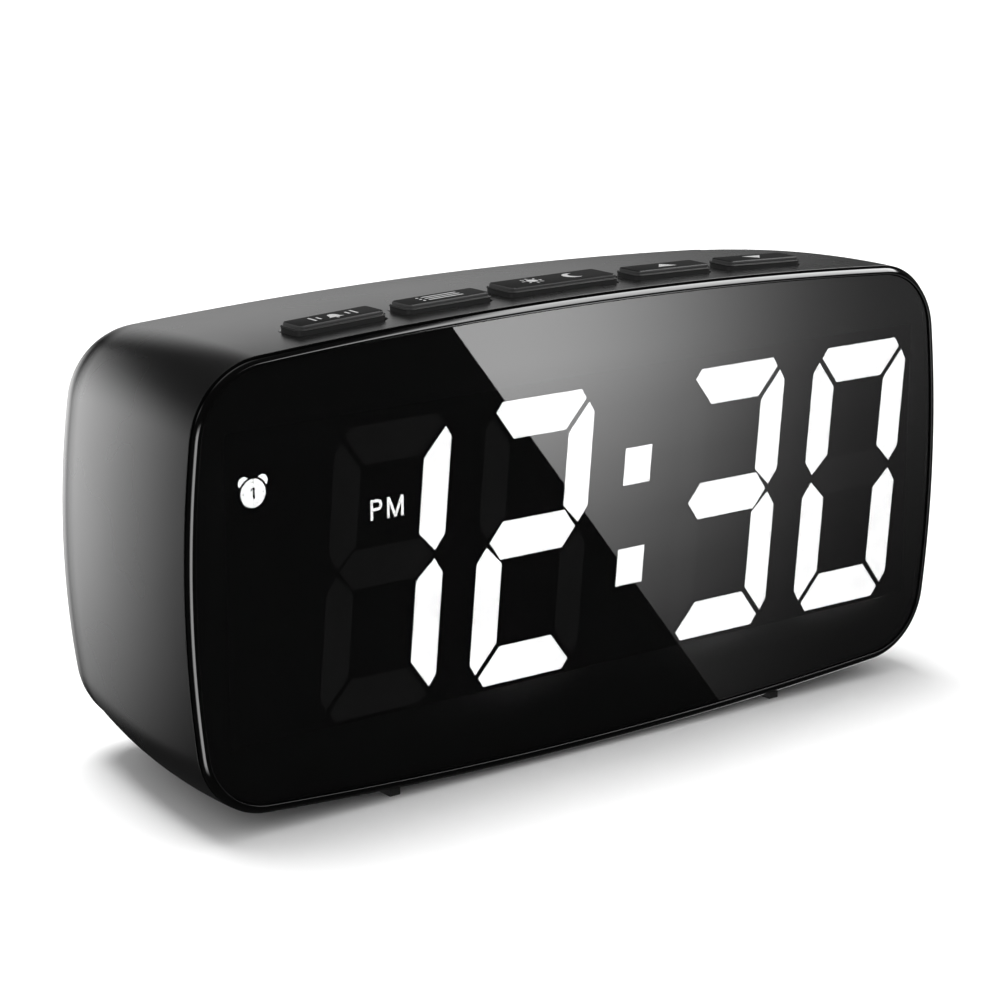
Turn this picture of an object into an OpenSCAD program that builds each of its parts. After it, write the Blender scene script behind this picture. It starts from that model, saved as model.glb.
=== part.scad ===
// Bedside alarm clock with a large segment display, five top buttons and a battery bay.
// Millimetres. X runs left to right seen from the front, Y front to back, Z up.
// The origin is on the surface it stands on, below the middle of its width and depth.

/* [Body] */
// Width of the front face
body_w = 165; // [163:1:170]
// Height of the front face, without the feet
body_h = 80.4; // [80:0.2:84]
// Depth from the bezel rim to the back
body_d = 56; // [55:1:60]
// Width where the sides turn into the back
rear_w = 155; // [153:1:158]
// Height where the top and bottom turn into the back
rear_h = 75; // [74:0.5:77]
// How far the middle of the back sits below the middle of the front
rear_drop = 0.5; // [0:0.1:1]
// How far the walls bulge halfway back
wall_bulge = 1; // [0.2:0.1:1.2]
// Corner radius of the front face
corner_r = 13.7; // [13:0.1:15]
// Rise of the curved top and bottom edges
crown_top = 3.5; // [2.5:0.1:4]
// Rise of the curved side edges
crown_side = 4; // [3:0.1:5]
// Radius between the walls and the back
back_r = 9.3; // [8.5:0.1:10]
// Wall thickness of the shell
wall = 2; // [1.8:0.1:2.2]
// Clear height under the middle of the body
foot_clear = 0.8; // [0.6:0.1:1.2]

/* [Front] */
// Depth of the bezel rim in front of the parting line
bezel_depth = 1.1; // [1:0.1:1.3]
// Width of the bezel rim around the lens
rim_w = 1.5; // [1.4:0.1:1.6]
// Thickness of the smoked lens
lens_t = 1.2; // [1:0.1:1.3]
// Setback of the lens behind the rim
lens_set = 0.4; // [0.3:0.1:0.5]

/* [Digits] */
// Height of a digit
digit_h = 49.2; // [47:0.2:50]
// Width of a digit
digit_w = 23.4; // [22:0.2:24]
// Width of an upright stroke
stroke_v = 5.4; // [5:0.1:5.8]
// Height of a level stroke
stroke_h = 6.6; // [6:0.1:6.8]
// Lean of the digits in degrees
lean = 4.9; // [4:0.1:6]
// Distance between the two digits of a pair
digit_pitch = 30.5; // [30:0.1:30.8]
// Distance between the inner digits of the two pairs
pair_pitch = 44.2; // [43.5:0.1:44.6]
// Middle of the four digits, right of the middle of the face
digits_x = 9; // [8.6:0.1:9.2]
// Middle of the digits, below the middle of the face
digits_low = 0.8; // [0.6:0.1:1]

/* [Buttons] */
// Length of a small button
key_l = 17.4; // [16.4:0.1:17.6]
// Depth of a small button
key_d = 6.2; // [5.8:0.1:6.4]
// Length of the snooze button
snooze_l = 23.6; // [22:0.1:23.8]
// Depth of the snooze button
snooze_d = 7.7; // [7.3:0.1:7.9]
// How far the buttons stand above the top
key_proud = 1.5; // [1.3:0.1:1.7]
// Travel of every button
key_travel = 0.5; // [0.4:0.1:0.5]

/* [Battery bay] */
// Length of the pocket for three cells
bay_l = 54; // [52:1:54]
// Height of the pocket
bay_h = 35; // [34:0.5:35]
// Depth of the pocket behind the door
bay_d = 11.7; // [11:0.1:12]

/* [Hidden] */
$fn = 48;
eps = 0.01;

front_y = -body_d / 2;
back_y = body_d / 2;
seam_gap = 0.2;
bezel_back_y = front_y + bezel_depth;
shell_front_y = bezel_back_y + seam_gap;
turn_y = back_y - back_r;
centre_z = foot_clear + body_h / 2;
lip_round = 0.3;

// Stack behind the lens
lens_front_y = front_y + lens_set;
lens_back_y = lens_front_y + lens_t;
tape_t = 0.15;
ledge_front_y = lens_back_y + tape_t;
ledge_in = 3.8;
skirt_out = 2.3;
skirt_back_y = front_y + 4;
// Lap joint: a thin lip of the shell outside, the neck of the bezel inside
lip_t = 0.7;
lap_gap = 0.1;
lip_back_y = shell_front_y + 1.5;
film_t = 0.1;
reflector_front_y = lens_back_y + film_t;
reflector_t = 6;
board_front_y = reflector_front_y + reflector_t;
board_t = 1.6;
board_back_y = board_front_y + board_t;
window_t = 1.2;
module_w = 151.6;
module_x = 0.8;
module_h = 53.2;

// Case screws and the posts they clamp together
post_x = 64;
post_z = 30.2;
post_r = 3;
boss_r = 4.2;
screw_recess_r = 2.9;
screw_head_r = 2.6;
screw_head_h = 1.8;
screw_r = 1.25;
screw_floor = 3;
screw_depth = 4.5;

// Buttons, from left to right
key_row_x = -2;
key_lengths = [key_l, key_l, snooze_l, key_l, key_l];
key_depths = [key_d, key_d, snooze_d, key_d, key_d];
key_steps = [-45.9, -24.4, 0, 24.4, 45.9];
key_front_y = front_y + 6.7;
key_gap = 0.3;
key_corner = 1.2;
key_flange = 0.7;
key_flange_t = 0.9;
key_tier = 0.75;
key_step_in = 0.3;
key_lip = 0.12;
key_lip_t = 0.14;
stem_r = 1.5;

// Key board and its switches, as heights above the middle of the face
key_board_t = 1.2;
key_board_top = centre_z + 30.6;
switch_size = 6;
switch_h = 3.1;
switch_bore_r = 1.85;
switch_bore_h = 1.5;
plunger_r = 1.7;
plunger_h = 1.6;
// Top of a plunger at rest, with room for its travel above the switch
plunger_top = key_board_top + switch_h + key_travel + 0.4;
key_post_r = 1.5;
key_board_w = 110;
key_board_front_y = front_y + 4.6;
key_board_back_y = front_y + 19;

// Battery bay in the middle of the back
door_t = 1.6;
door_gap = 0.3;
door_lap = 2.8;
door_w = bay_l + 2 * door_lap - 0.6;
door_h = bay_h + 2 * door_lap - 0.6;
recess_d = door_t + 0.2;
bay_floor_y = back_y - recess_d - bay_d;
bay_wall = 1.6;
pad_edge = 1.8;
pad_t = 5;
tab_w = 6;
tab_x = 16;
tab_l = 1.5;
tab_t = 0.9;
cell_pitch = 11.2;
cell_steps = [-1, 0, 1];

// Power socket and buzzer, seen from the front
socket_x = 48;
socket_z = centre_z - 20;
socket_r = 4;
socket_bore_r = 2.9;
socket_pin_r = 1.05;
buzzer_x = -49;
buzzer_z = centre_z + 2;
buzzer_r = 7;
buzzer_h = 6;

// Feet
foot_w = 2.1;
foot_x = 43;
foot_shift = 0.9;
foot_front_y = shell_front_y + 0.6;
foot_back_y = 14;
foot_set = 0.5;

function lerp(a, b, t) = a + (b - a) * t;
function clamp01(t) = max(0, min(1, t));

// ---------- Outline of the face: curved edges joined by corner arcs ----------

top_steps = 8;
corner_steps = 6;
side_steps = 4;

// Radius of an arc from half its chord and its rise
function crown_radius(half, rise) = (half * half + rise * rise) / (2 * rise);

function arc(c, r, a0, a1, n) = [
    for (i = [0 : n - 1])
        let (a = lerp(a0, a1, i / n))
        c + r * [cos(a), sin(a)]
];

// Centre of the corner arc that touches the top arc and the side arc from inside
function corner_centre(c1, r1, c2, r2, r) =
    let (
        a = r1 - r,
        b = r2 - r,
        d = norm(c2 - c1),
        e = (c2 - c1) / d,
        along = (a * a - b * b + d * d) / (2 * d),
        across = sqrt(a * a - along * along)
    )
    c1 + e * along + [e[1], -e[0]] * across;

// Closed outline with half sizes w and h, corner r and edge rises, moved in by inset
function outline(w, h, r, rise_t, rise_s, inset) =
    let (
        r1 = crown_radius(w, rise_t),
        r2 = crown_radius(h, rise_s),
        c1 = [0, h - r1],
        c2 = [w - r2, 0],
        c = corner_centre(c1, r1, c2, r2, r),
        t1 = atan2(c[1] - c1[1], c[0] - c1[0]),
        t2 = atan2(c[1] - c2[1], c[0] - c2[0]),
        q = r - inset
    )
    concat(
        arc(c1, r1 - inset, 180 - t1, t1, 2 * top_steps),
        arc(c, q, t1, t2, corner_steps),
        arc(c2, r2 - inset, t2, -t2, 2 * side_steps),
        arc([c[0], -c[1]], q, -t2, -t1, corner_steps),
        arc(-c1, r1 - inset, -t1, t1 - 180, 2 * top_steps),
        arc(-c, q, t1 - 180, t2 - 180, corner_steps),
        arc(-c2, r2 - inset, t2 - 180, -180 - t2, 2 * side_steps),
        arc([-c[0], c[1]], q, -180 - t2, -180 - t1, corner_steps)
    );

// How far back a depth lies on the walls, from 0 at the parting line to 1 at the turn
function depth_share(y) = clamp01((y - shell_front_y) / (turn_y - shell_front_y));
function bulge(t) = 4 * t * (1 - t) * wall_bulge;
function half_w(t) = lerp(body_w, rear_w, t) / 2 + bulge(t);
function half_h(t) = lerp(body_h, rear_h, t) / 2 + bulge(t);
function rise_top(t) = lerp(crown_top, crown_top * 0.8, t);
function rise_side(t) = lerp(crown_side, crown_side * 1.15, t);
function mid_z(t) = centre_z - rear_drop * t;

// Body section at depth y, moved in by inset
function section(y, inset) =
    let (t = depth_share(y))
    [
        for (p = outline(half_w(t), half_h(t), corner_r, rise_top(t), rise_side(t), inset))
            [p[0], y, p[1] + mid_z(t)]
    ];

// Height of the outer top surface
function top_radius(y) = crown_radius(half_w(depth_share(y)), rise_top(depth_share(y)));
function top_z(x, y) =
    let (t = depth_share(y), r = top_radius(y))
    mid_z(t) + half_h(t) - r + sqrt(r * r - x * x);

// ---------- Solids made of rings ----------

function ring_faces(j, k, n) = [
    for (i = [0 : n - 1])
        let (a = i, b = (i + 1) % n)
        each [
            [j * n + a, k * n + b, j * n + b],
            [j * n + a, k * n + a, k * n + b]
        ]
];

// Closed solid through a list of rings, with a flat cap at each end
module loft(rings) {
    n = len(rings[0]);
    last = len(rings) - 1;
    polyhedron(
        [for (ring = rings) each ring],
        concat(
            [[for (i = [0 : n - 1]) i]],
            [for (j = [0 : last - 1]) each ring_faces(j, j + 1, n)],
            [[for (i = [n - 1 : -1 : 0]) last * n + i]]
        ),
        convexity = 6
    );
}

// Ring-shaped solid: each profile point is [inset, depth]
module rim(profile) {
    rings = [for (p = profile) section(p[1], p[0])];
    n = len(rings[0]);
    m = len(rings);
    polyhedron(
        [for (ring = rings) each ring],
        [for (j = [0 : m - 1]) each ring_faces((j + 1) % m, j, n)],
        convexity = 6
    );
}

// Tube along a list of points
function tangent(path, i) =
    let (a = path[max(i - 1, 0)], b = path[min(i + 1, len(path) - 1)])
    (b - a) / norm(b - a);
function side_of(t) =
    let (s = cross(t, abs(t[2]) < 0.9 ? [0, 0, 1] : [1, 0, 0]))
    s / norm(s);
module tube(path, r, sides) {
    loft([
        for (i = [0 : len(path) - 1])
            let (t = tangent(path, i), s = side_of(t), u = cross(s, t))
            [
                for (k = [0 : sides - 1])
                    let (a = -360 * k / sides)
                    path[i] + r * (cos(a) * s + sin(a) * u)
            ]
    ]);
}

function bezier(a, b, c, d, n) = [
    for (i = [0 : n])
        let (t = i / n, s = 1 - t)
        s * s * s * a + 3 * s * s * t * b + 3 * s * t * t * c + t * t * t * d
];

// ---------- Small helpers ----------

// Rounded rectangle made of plain squares and circles
module pad(w, h, r) {
    square([w - 2 * r, h], center = true);
    square([w, h - 2 * r], center = true);
    for (x = [-1, 1], y = [-1, 1]) {
        translate([x * (w / 2 - r), y * (h / 2 - r)]) circle(r);
    }
}

// Stands a flat shape in the face plane, from depth y0 to y1
module upright(y0, y1) {
    translate([0, y1, 0]) rotate([90, 0, 0]) linear_extrude(y1 - y0) children();
}

// Round bar along the depth
module bar_y(x, z, r, y0, y1) {
    translate([x, y1, z]) rotate([90, 0, 0]) cylinder(r = r, h = y1 - y0);
}

module box(x0, x1, y0, y1, z0, z1) {
    translate([x0, y0, z0]) cube([x1 - x0, y1 - y0, z1 - z0]);
}

// Places a shape at each post, with its own up pointing away from the middle
module at_posts() {
    for (x = [-1, 1], turn = [0, 180]) {
        translate([x * post_x, 0, centre_z]) rotate([0, turn, 0])
        translate([0, 0, post_z]) children();
    }
}

// ---------- Display layout ----------

digit_centres = [
    digits_x - pair_pitch / 2 - digit_pitch,
    digits_x - pair_pitch / 2,
    digits_x + pair_pitch / 2,
    digits_x + pair_pitch / 2 + digit_pitch
];
digits_z = centre_z - digits_low;
// Lit segments of each digit: 0 top, 1 and 2 right, 3 bottom, 4 and 5 left, 6 middle
lit_sets = [[1, 2], [0, 1, 6, 4, 3], [0, 1, 6, 2, 3], [0, 1, 2, 3, 4, 5]];
all_segments = [0, 1, 2, 3, 4, 5, 6];
function unlit_set(d) = [for (s = all_segments) if (len(search(s, lit_sets[d])) == 0) s];

hw = digit_w / 2;
hh = digit_h / 2;
corner_cut = 3.2;
tip_in = 2;
tip_down = 1.7;
mitre = 0.7;
middle_z = 0.6;
waist = 1.9;

// Level bar at the top, from the outer edge inwards
function top_bar() = [
    [-(hw - corner_cut), hh], [hw - corner_cut, hh], [hw - tip_in, hh - tip_down],
    [hw - stroke_v - mitre, hh - stroke_h], [-(hw - stroke_v - mitre), hh - stroke_h],
    [-(hw - tip_in), hh - tip_down]
];
// Upright bar at the upper right
function upper_bar() = [
    [hw - tip_in + mitre, hh - tip_down - mitre], [hw, hh - corner_cut - mitre * 1.6],
    [hw, middle_z + stroke_h / 2], [hw - waist, middle_z + mitre],
    [hw - stroke_v, middle_z + stroke_h / 2 + mitre], [hw - stroke_v, hh - stroke_h - mitre]
];
// Level bar in the middle, pointed at both ends
function middle_bar() = [
    for (s = [1, -1])
        each [
            [-s * (hw - stroke_v + mitre * 0.5), middle_z + s * stroke_h / 2],
            [s * (hw - stroke_v + mitre * 0.5), middle_z + s * stroke_h / 2],
            [s * (hw - waist - mitre * 0.8), middle_z]
        ]
];
function flip_z(points, z) = [for (p = points) [p[0], 2 * z - p[1]]];
function flip_x(points) = [for (p = points) [-p[0], p[1]]];
lower_shift = 2 * middle_z;
function lower_bar() = [
    for (p = flip_z(upper_bar(), 0)) [p[0], p[1] > -hh / 2 ? p[1] + lower_shift : p[1]]
];
function segment_points(s) =
    s == 0 ? top_bar() :
    s == 1 ? upper_bar() :
    s == 2 ? lower_bar() :
    s == 3 ? flip_z(top_bar(), 0) :
    s == 4 ? flip_x(lower_bar()) :
    s == 5 ? flip_x(upper_bar()) : middle_bar();

// Leans a flat point to the right with its height
function leaned(p) = [p[0] + p[1] * tan(lean), p[1]];
function placed(d, p) = [digit_centres[d], digits_z] + leaned(p);

module segment(d, s) {
    polygon([for (p = segment_points(s)) placed(d, p)]);
}

dot_w = 6;
dot_h = 6.6;
dot_step = 9;
dots_lift = 0.4;
module colon_dot(s) {
    z = s * dot_step + dots_lift;
    corners = [for (c = [[-1, -1], [1, -1], [1, 1], [-1, 1]]) [c[0] * dot_w / 2, c[1] * dot_h / 2 + z]];
    polygon([for (p = corners) [digits_x + 0.35, digits_z] + leaned(p)]);
}

// Afternoon mark, made of plain strokes
mark_h = 3.5;
mark_stroke = 0.48;
mark_x = -43.3;
mark_z = centre_z + 9.3;
module letter_p() {
    w = 2.5;
    square([mark_stroke, mark_h]);
    difference() {
        union() {
            translate([0, mark_h * 0.45]) square([w - 1.1, mark_h * 0.55]);
            translate([w - 1.15, mark_h * 0.725]) circle(mark_h * 0.275);
        }
        translate([mark_stroke, mark_h * 0.45 + mark_stroke]) {
            square([w - 1.1 - mark_stroke, mark_h * 0.55 - 2 * mark_stroke]);
        }
        translate([w - 1.15, mark_h * 0.725]) circle(mark_h * 0.275 - mark_stroke);
    }
}
module letter_m() {
    w = 3.3;
    square([mark_stroke, mark_h]);
    translate([w - mark_stroke, 0]) square([mark_stroke, mark_h]);
    polygon([
        [0, mark_h], [mark_stroke * 1.1, mark_h], [w / 2, mark_h * 0.24],
        [w - mark_stroke * 1.1, mark_h], [w, mark_h], [w / 2 + mark_stroke * 0.45, 0],
        [w / 2 - mark_stroke * 0.45, 0]
    ]);
}
module afternoon_mark() {
    translate([mark_x - 3.3, mark_z - mark_h / 2]) letter_p();
    translate([mark_x, mark_z - mark_h / 2]) letter_m();
}

// Alarm mark: a round face with two bells
icon_x = -69.1;
icon_z = centre_z + 15.7;
icon_r = 2.35;
icon_gap = 0.36;
module icon_bells() {
    difference() {
        for (s = [-1, 1]) {
            translate([s * 1.72, 1.85]) circle(1.05);
        }
        circle(icon_r + icon_gap);
    }
}
module icon_face() {
    difference() {
        circle(icon_r);
        translate([-0.05, -0.95]) square([0.36, 1.9]);
        polygon([[-0.05, 0.95], [0.15, 0.95], [-0.4, 0.35], [-0.55, 0.55]]);
        for (a = [0 : 90 : 270]) {
            rotate(a) translate([icon_r * 0.78, 0]) circle(0.13, $fn = 16);
        }
    }
}
module alarm_mark() {
    translate([icon_x, icon_z]) {
        icon_face();
        icon_bells();
    }
}

module all_windows() {
    for (d = [0 : 3], s = all_segments) segment(d, s);
    for (s = [-1, 1]) colon_dot(s);
    afternoon_mark();
    translate([icon_x, icon_z]) {
        circle(icon_r);
        icon_bells();
    }
}

// ---------- Front ----------

module front_bezel() {
    color("#17181a") {
        rim([
            [0, bezel_back_y], [0, front_y + 0.62], [0.12, front_y + 0.3],
            [0.34, front_y + 0.1], [0.62, front_y], [rim_w - 0.35, front_y],
            [rim_w - 0.1, front_y + 0.1], [rim_w, front_y + 0.3], [rim_w, ledge_front_y],
            [ledge_in, ledge_front_y], [ledge_in, skirt_back_y], [skirt_out, skirt_back_y],
            [skirt_out, lip_back_y - lap_gap], [lip_t + lap_gap, lip_back_y - lap_gap],
            [lip_t + lap_gap, bezel_back_y]
        ]);
        difference() {
            at_posts() {
                bar_y(0, 0, post_r, ledge_front_y + 0.5, board_front_y);
                post_web();
            }
            at_posts() bar_y(0, 0, screw_r, board_front_y - screw_depth - 0.4, board_front_y + eps);
        }
    }
}

// Arm that ties a post to the skirt above or below it
module post_web() {
    box(-1.2, 1.2, ledge_front_y + 0.7, skirt_back_y - 0.3, 0, 4.8);
}

module display_lens() {
    color("#101216")
    loft([section(lens_front_y, rim_w + 0.1), section(lens_back_y, rim_w + 0.1)]);
}

module lens_tape() {
    color("#202020")
    rim([
        [rim_w + 0.5, lens_back_y], [ledge_in - 0.1, lens_back_y],
        [ledge_in - 0.1, ledge_front_y], [rim_w + 0.5, ledge_front_y]
    ]);
}

module diffuser_film() {
    color("#2a2a2c")
    translate([module_x, 0, centre_z])
    upright(lens_back_y, reflector_front_y) pad(module_w, module_h, 3);
}

module display_reflector() {
    color("#0d0d0f")
    difference() {
        translate([module_x, 0, centre_z])
        upright(reflector_front_y, board_front_y) pad(module_w, module_h, 3);
        upright(reflector_front_y - eps, board_front_y + eps) all_windows();
    }
}

module window_plugs() {
    upright(reflector_front_y, reflector_front_y + window_t) children();
}
module segments(d, list) {
    window_plugs() for (s = list) segment(d, s);
}
module hour_tens_lit() { color("white") segments(0, lit_sets[0]); }
module hour_tens_unlit() { color("#3a3a3a") segments(0, unlit_set(0)); }
module hour_units_lit() { color("white") segments(1, lit_sets[1]); }
module hour_units_unlit() { color("#3a3a3a") segments(1, unlit_set(1)); }
module minute_tens_lit() { color("white") segments(2, lit_sets[2]); }
module minute_tens_unlit() { color("#3a3a3a") segments(2, unlit_set(2)); }
module minute_units_lit() { color("white") segments(3, lit_sets[3]); }
module minute_units_unlit() { color("#3a3a3a") segments(3, unlit_set(3)); }
module colon_dots() { color("white") window_plugs() for (s = [-1, 1]) colon_dot(s); }
module pm_indicator() { color("white") window_plugs() afternoon_mark(); }
module alarm_indicator() { color("white") window_plugs() alarm_mark(); }

// ---------- Boards ----------

chip_w = 2;
chip_h = 1.25;
chip_t = 0.8;
module led_chip(p) {
    box(p[0] - chip_w / 2, p[0] + chip_w / 2, board_front_y - chip_t, board_front_y,
        p[1] - chip_h / 2, p[1] + chip_h / 2);
}
module led_chips() {
    color("#f2e9a0") {
        for (d = [0 : 3], s = all_segments) {
            led_chip(placed(d, segment_middle(s)));
        }
        for (s = [-1, 1]) {
            led_chip([digits_x + 0.35, digits_z] + leaned([0, s * dot_step + dots_lift]));
        }
        led_chip([icon_x, icon_z]);
    }
}
// Middle of a segment, where its light sits
function segment_middle(s) =
    let (p = segment_points(s), n = len(p))
    [
        [for (q = p) q[0]] * [for (q = p) 1] / n,
        [for (q = p) q[1]] * [for (q = p) 1] / n
    ];

module display_board() {
    color("#1d5b35")
    difference() {
        upright(board_front_y, board_back_y) {
            translate([module_x, centre_z]) pad(module_w, module_h, 3);
            for (x = [-1, 1], z = [-1, 1]) {
                translate([x * post_x, centre_z + z * post_z]) circle(boss_r);
                translate([x * post_x, centre_z + z * (post_z - boss_r)])
                square([2 * boss_r, 2 * boss_r], center = true);
            }
        }
        at_posts() bar_y(0, 0, screw_r + 0.15, board_front_y - eps, board_back_y + eps);
    }
}

chip_x = 4;
chip_z = centre_z - 14;
module driver_chip() {
    color("#1b1b1d") {
        box(chip_x - 9, chip_x + 9, board_back_y, board_back_y + 2.3, chip_z - 3.7, chip_z + 3.7);
        for (i = [-6.5 : 1 : 6.5], s = [-1, 1]) {
            box(chip_x + i * 1.27 - 0.2, chip_x + i * 1.27 + 0.2, board_back_y, board_back_y + 0.9,
                chip_z + (s > 0 ? 3.7 : -5.1), chip_z + (s > 0 ? 5.1 : -3.7));
        }
    }
}

module clock_crystal() {
    color("silver")
    translate([chip_x + 16, board_back_y + 1.55, chip_z - 3]) cylinder(r = 1.5, h = 7);
}

module capacitors() {
    color("#22304a") {
        bar_y(chip_x - 18, chip_z + 2, 3.15, board_back_y, board_back_y + 7);
        bar_y(chip_x + 34, chip_z - 1, 2.5, board_back_y, board_back_y + 6);
    }
}

header_d = 4.5;
header_z = centre_z - 21;
header_xs = [-45, -20, 22];
module lead_headers() {
    color("#e6e2d6")
    for (x = header_xs) {
        box(x - 3.5, x + 3.5, board_back_y, board_back_y + header_d, header_z - 2.5, header_z + 2.5);
    }
}

// ---------- Buttons ----------

function key_x(i) = key_row_x + key_steps[i];
function key_y(i) = key_front_y + key_depths[i] / 2;
function key_tilt(i) = asin(key_x(i) / top_radius(key_y(i)));

module at_key(i) {
    translate([key_x(i), key_y(i), top_z(key_x(i), key_y(i))])
    rotate([0, key_tilt(i), 0]) children();
}

module key_slab(i, grow, z0, z1) {
    translate([0, 0, z0]) linear_extrude(z1 - z0)
    pad(key_lengths[i] + 2 * grow, key_depths[i] + 2 * grow, key_corner + grow);
}

flange_top = -(wall + key_gap);
flange_bottom = flange_top - key_flange_t;
module key_cap(i) {
    at_key(i) {
        key_slab(i, 0, flange_top - eps, key_tier);
        key_slab(i, key_lip, key_tier - key_lip_t / 2, key_tier + key_lip_t / 2);
        key_slab(i, -key_step_in, key_tier - eps, key_proud);
        key_slab(i, key_flange, flange_bottom, flange_top);
    }
    stem_top = top_z(key_x(i), key_y(i)) + flange_bottom + 0.2;
    translate([key_x(i), key_y(i), plunger_top]) cylinder(r = stem_r, h = stem_top - plunger_top);
}
module key_window(i) {
    at_key(i) key_slab(i, key_gap, -wall - 3, 3);
}
module key_plunger(i) {
    color("#d8d4c8")
    translate([key_x(i), key_y(i), plunger_top - plunger_h]) cylinder(r = plunger_r, h = plunger_h);
}
module alarm_button() { color("#1c1c1c") key_cap(0); }
module mode_button() { color("#1c1c1c") key_cap(1); }
module snooze_button() { color("#1c1c1c") key_cap(2); }
module up_button() { color("#1c1c1c") key_cap(3); }
module down_button() { color("#1c1c1c") key_cap(4); }
module alarm_plunger() { key_plunger(0); }
module mode_plunger() { key_plunger(1); }
module snooze_plunger() { key_plunger(2); }
module up_plunger() { key_plunger(3); }
module down_plunger() { key_plunger(4); }

module tact_switches() {
    color("#2b2b2e")
    for (i = [0 : 4]) {
        translate([key_x(i), key_y(i), key_board_top])
        difference() {
            translate([-switch_size / 2, -switch_size / 2, 0])
            cube([switch_size, switch_size, switch_h]);
            translate([0, 0, switch_h - switch_bore_h])
            cylinder(r = switch_bore_r, h = switch_bore_h + 1);
        }
    }
}

// Middle of the space between one button and the next
function gap_x(i) = (key_x(i) + key_lengths[i] / 2 + key_x(i + 1) - key_lengths[i + 1] / 2) / 2;
// The posts stand behind the buttons, clear of the rims under the windows
key_post_y = key_front_y + snooze_d + key_flange + key_post_r + 0.3;

module at_key_posts() {
    for (i = [0 : 3]) {
        translate([gap_x(i), key_post_y, 0]) children();
    }
}

module key_board() {
    color("#1d5b35")
    difference() {
        box(key_row_x - key_board_w / 2, key_row_x + key_board_w / 2, key_board_front_y,
            key_board_back_y, key_board_top - key_board_t, key_board_top);
        at_key_posts() translate([0, 0, key_board_top - key_board_t - 1])
        cylinder(r = key_screw_r + 0.15, h = key_board_t + 2);
    }
}

key_screw_r = 0.85;
key_screw_reach = 4;
key_head_r = 1.7;
key_head_h = 1.1;
module key_board_screws() {
    color("silver")
    at_key_posts() {
        translate([0, 0, key_board_top - key_board_t - key_head_h])
        cylinder(r = key_head_r, h = key_head_h);
        translate([0, 0, key_board_top - key_board_t - eps])
        cylinder(r = key_screw_r, h = key_board_t + key_screw_reach);
    }
}

// Flat cable from the key board down to the display board
ribbon_w = 9;
ribbon_t = 0.3;
ribbon_x = 51;
module key_ribbon() {
    top = key_board_top - key_board_t;
    low = centre_z + 20;
    color("#c9c2a8")
    translate([ribbon_x - ribbon_w, 0, 0]) rotate([90, 0, 90]) linear_extrude(ribbon_w)
    polygon([
        [key_board_back_y - 0.5, top], [key_board_back_y - 0.5, top - 1.2],
        [board_back_y + 2.6, low + 1.6], [board_back_y, low + 1.6], [board_back_y, low + 1.6 - ribbon_t],
        [board_back_y + 2.7, low + 1.6 - ribbon_t], [key_board_back_y - 0.2, top - 1.3],
        [key_board_back_y - 0.2, top]
    ]);
}

// ---------- Rear housing ----------

station_share = [0.16, 0.33, 0.5, 0.67, 0.84, 1];
back_angles = [18 : 18 : 90];

function outer_rings() = concat(
    [section(shell_front_y, lip_round), section(shell_front_y + lip_round, 0)],
    [for (t = station_share) section(lerp(shell_front_y, turn_y, t), 0)],
    [for (a = back_angles) section(turn_y + back_r * sin(a), back_r * (1 - cos(a)))]
);
function inner_rings() = concat(
    [section(front_y, lip_t), section(lip_back_y, lip_t), section(lip_back_y, wall)],
    [for (t = station_share) section(lerp(shell_front_y, turn_y, t), wall)],
    [
        for (a = back_angles)
            section(turn_y + (back_r - wall) * sin(a), wall + (back_r - wall) * (1 - cos(a)))
    ]
);

module case_bosses() {
    at_posts() bar_y(0, 0, boss_r, board_back_y, back_y);
}
module key_posts() {
    at_key_posts() translate([0, 0, key_board_top]) cylinder(r = key_post_r, h = 20);
}
module bay_block() {
    x = bay_l / 2 + bay_wall;
    z = bay_h / 2 + bay_wall;
    box(-x, x, bay_floor_y - bay_wall, back_y, centre_z - z, centre_z + z);
    px = door_w / 2 + door_gap + pad_edge;
    pz = door_h / 2 + door_gap + pad_edge;
    box(-px, px, back_y - pad_t, back_y, centre_z - pz, centre_z + pz);
}
module socket_cheeks() {
    for (s = [-1, 1]) {
        x = socket_x + s * 5.6;
        box(x - 0.8, x + 0.8, back_y - 12, back_y, socket_z - 5, socket_z + 5);
    }
}

module bay_cuts() {
    box(-bay_l / 2, bay_l / 2, bay_floor_y, back_y + 1, centre_z - bay_h / 2, centre_z + bay_h / 2);
    x = door_w / 2 + door_gap;
    z = door_h / 2 + door_gap;
    box(-x, x, back_y - recess_d, back_y + 1, centre_z - z, centre_z + z);
    // Relief under the skin for the two tabs to turn in
    for (s = [-1, 1]) {
        box(s * tab_x - tab_w / 2 - 0.4, s * tab_x + tab_w / 2 + 0.4, back_y - 3.4, back_y - 0.6,
            centre_z - z - tab_l - 0.1, centre_z - z + 2.4);
    }
}
module screw_cuts() {
    at_posts() {
        bar_y(0, 0, screw_recess_r, board_back_y + screw_floor, back_y + 1);
        bar_y(0, 0, screw_r + 0.2, board_back_y - 1, board_back_y + screw_floor + 1);
    }
}
module sound_holes() {
    bar_y(buzzer_x, buzzer_z, 0.9, back_y - wall - 1, back_y + 1);
    for (a = [0 : 60 : 300]) {
        bar_y(buzzer_x + 3 * cos(a), buzzer_z + 3 * sin(a), 0.9, back_y - wall - 1, back_y + 1);
    }
}

// Height of the underside of the body
function under_z(x, y) = 2 * mid_z(depth_share(y)) - top_z(x, y);

// Rail let into the underside, down to the floor or by grow below it
module foot_bar(x, grow) {
    z0 = under_z(x, foot_front_y) + foot_set;
    z1 = under_z(x, foot_back_y) + foot_set;
    translate([x - foot_w / 2, 0, 0]) rotate([90, 0, 90]) linear_extrude(foot_w)
    polygon([[foot_front_y, -grow], [foot_back_y, -grow], [foot_back_y, z1], [foot_front_y, z0]]);
}

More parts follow.
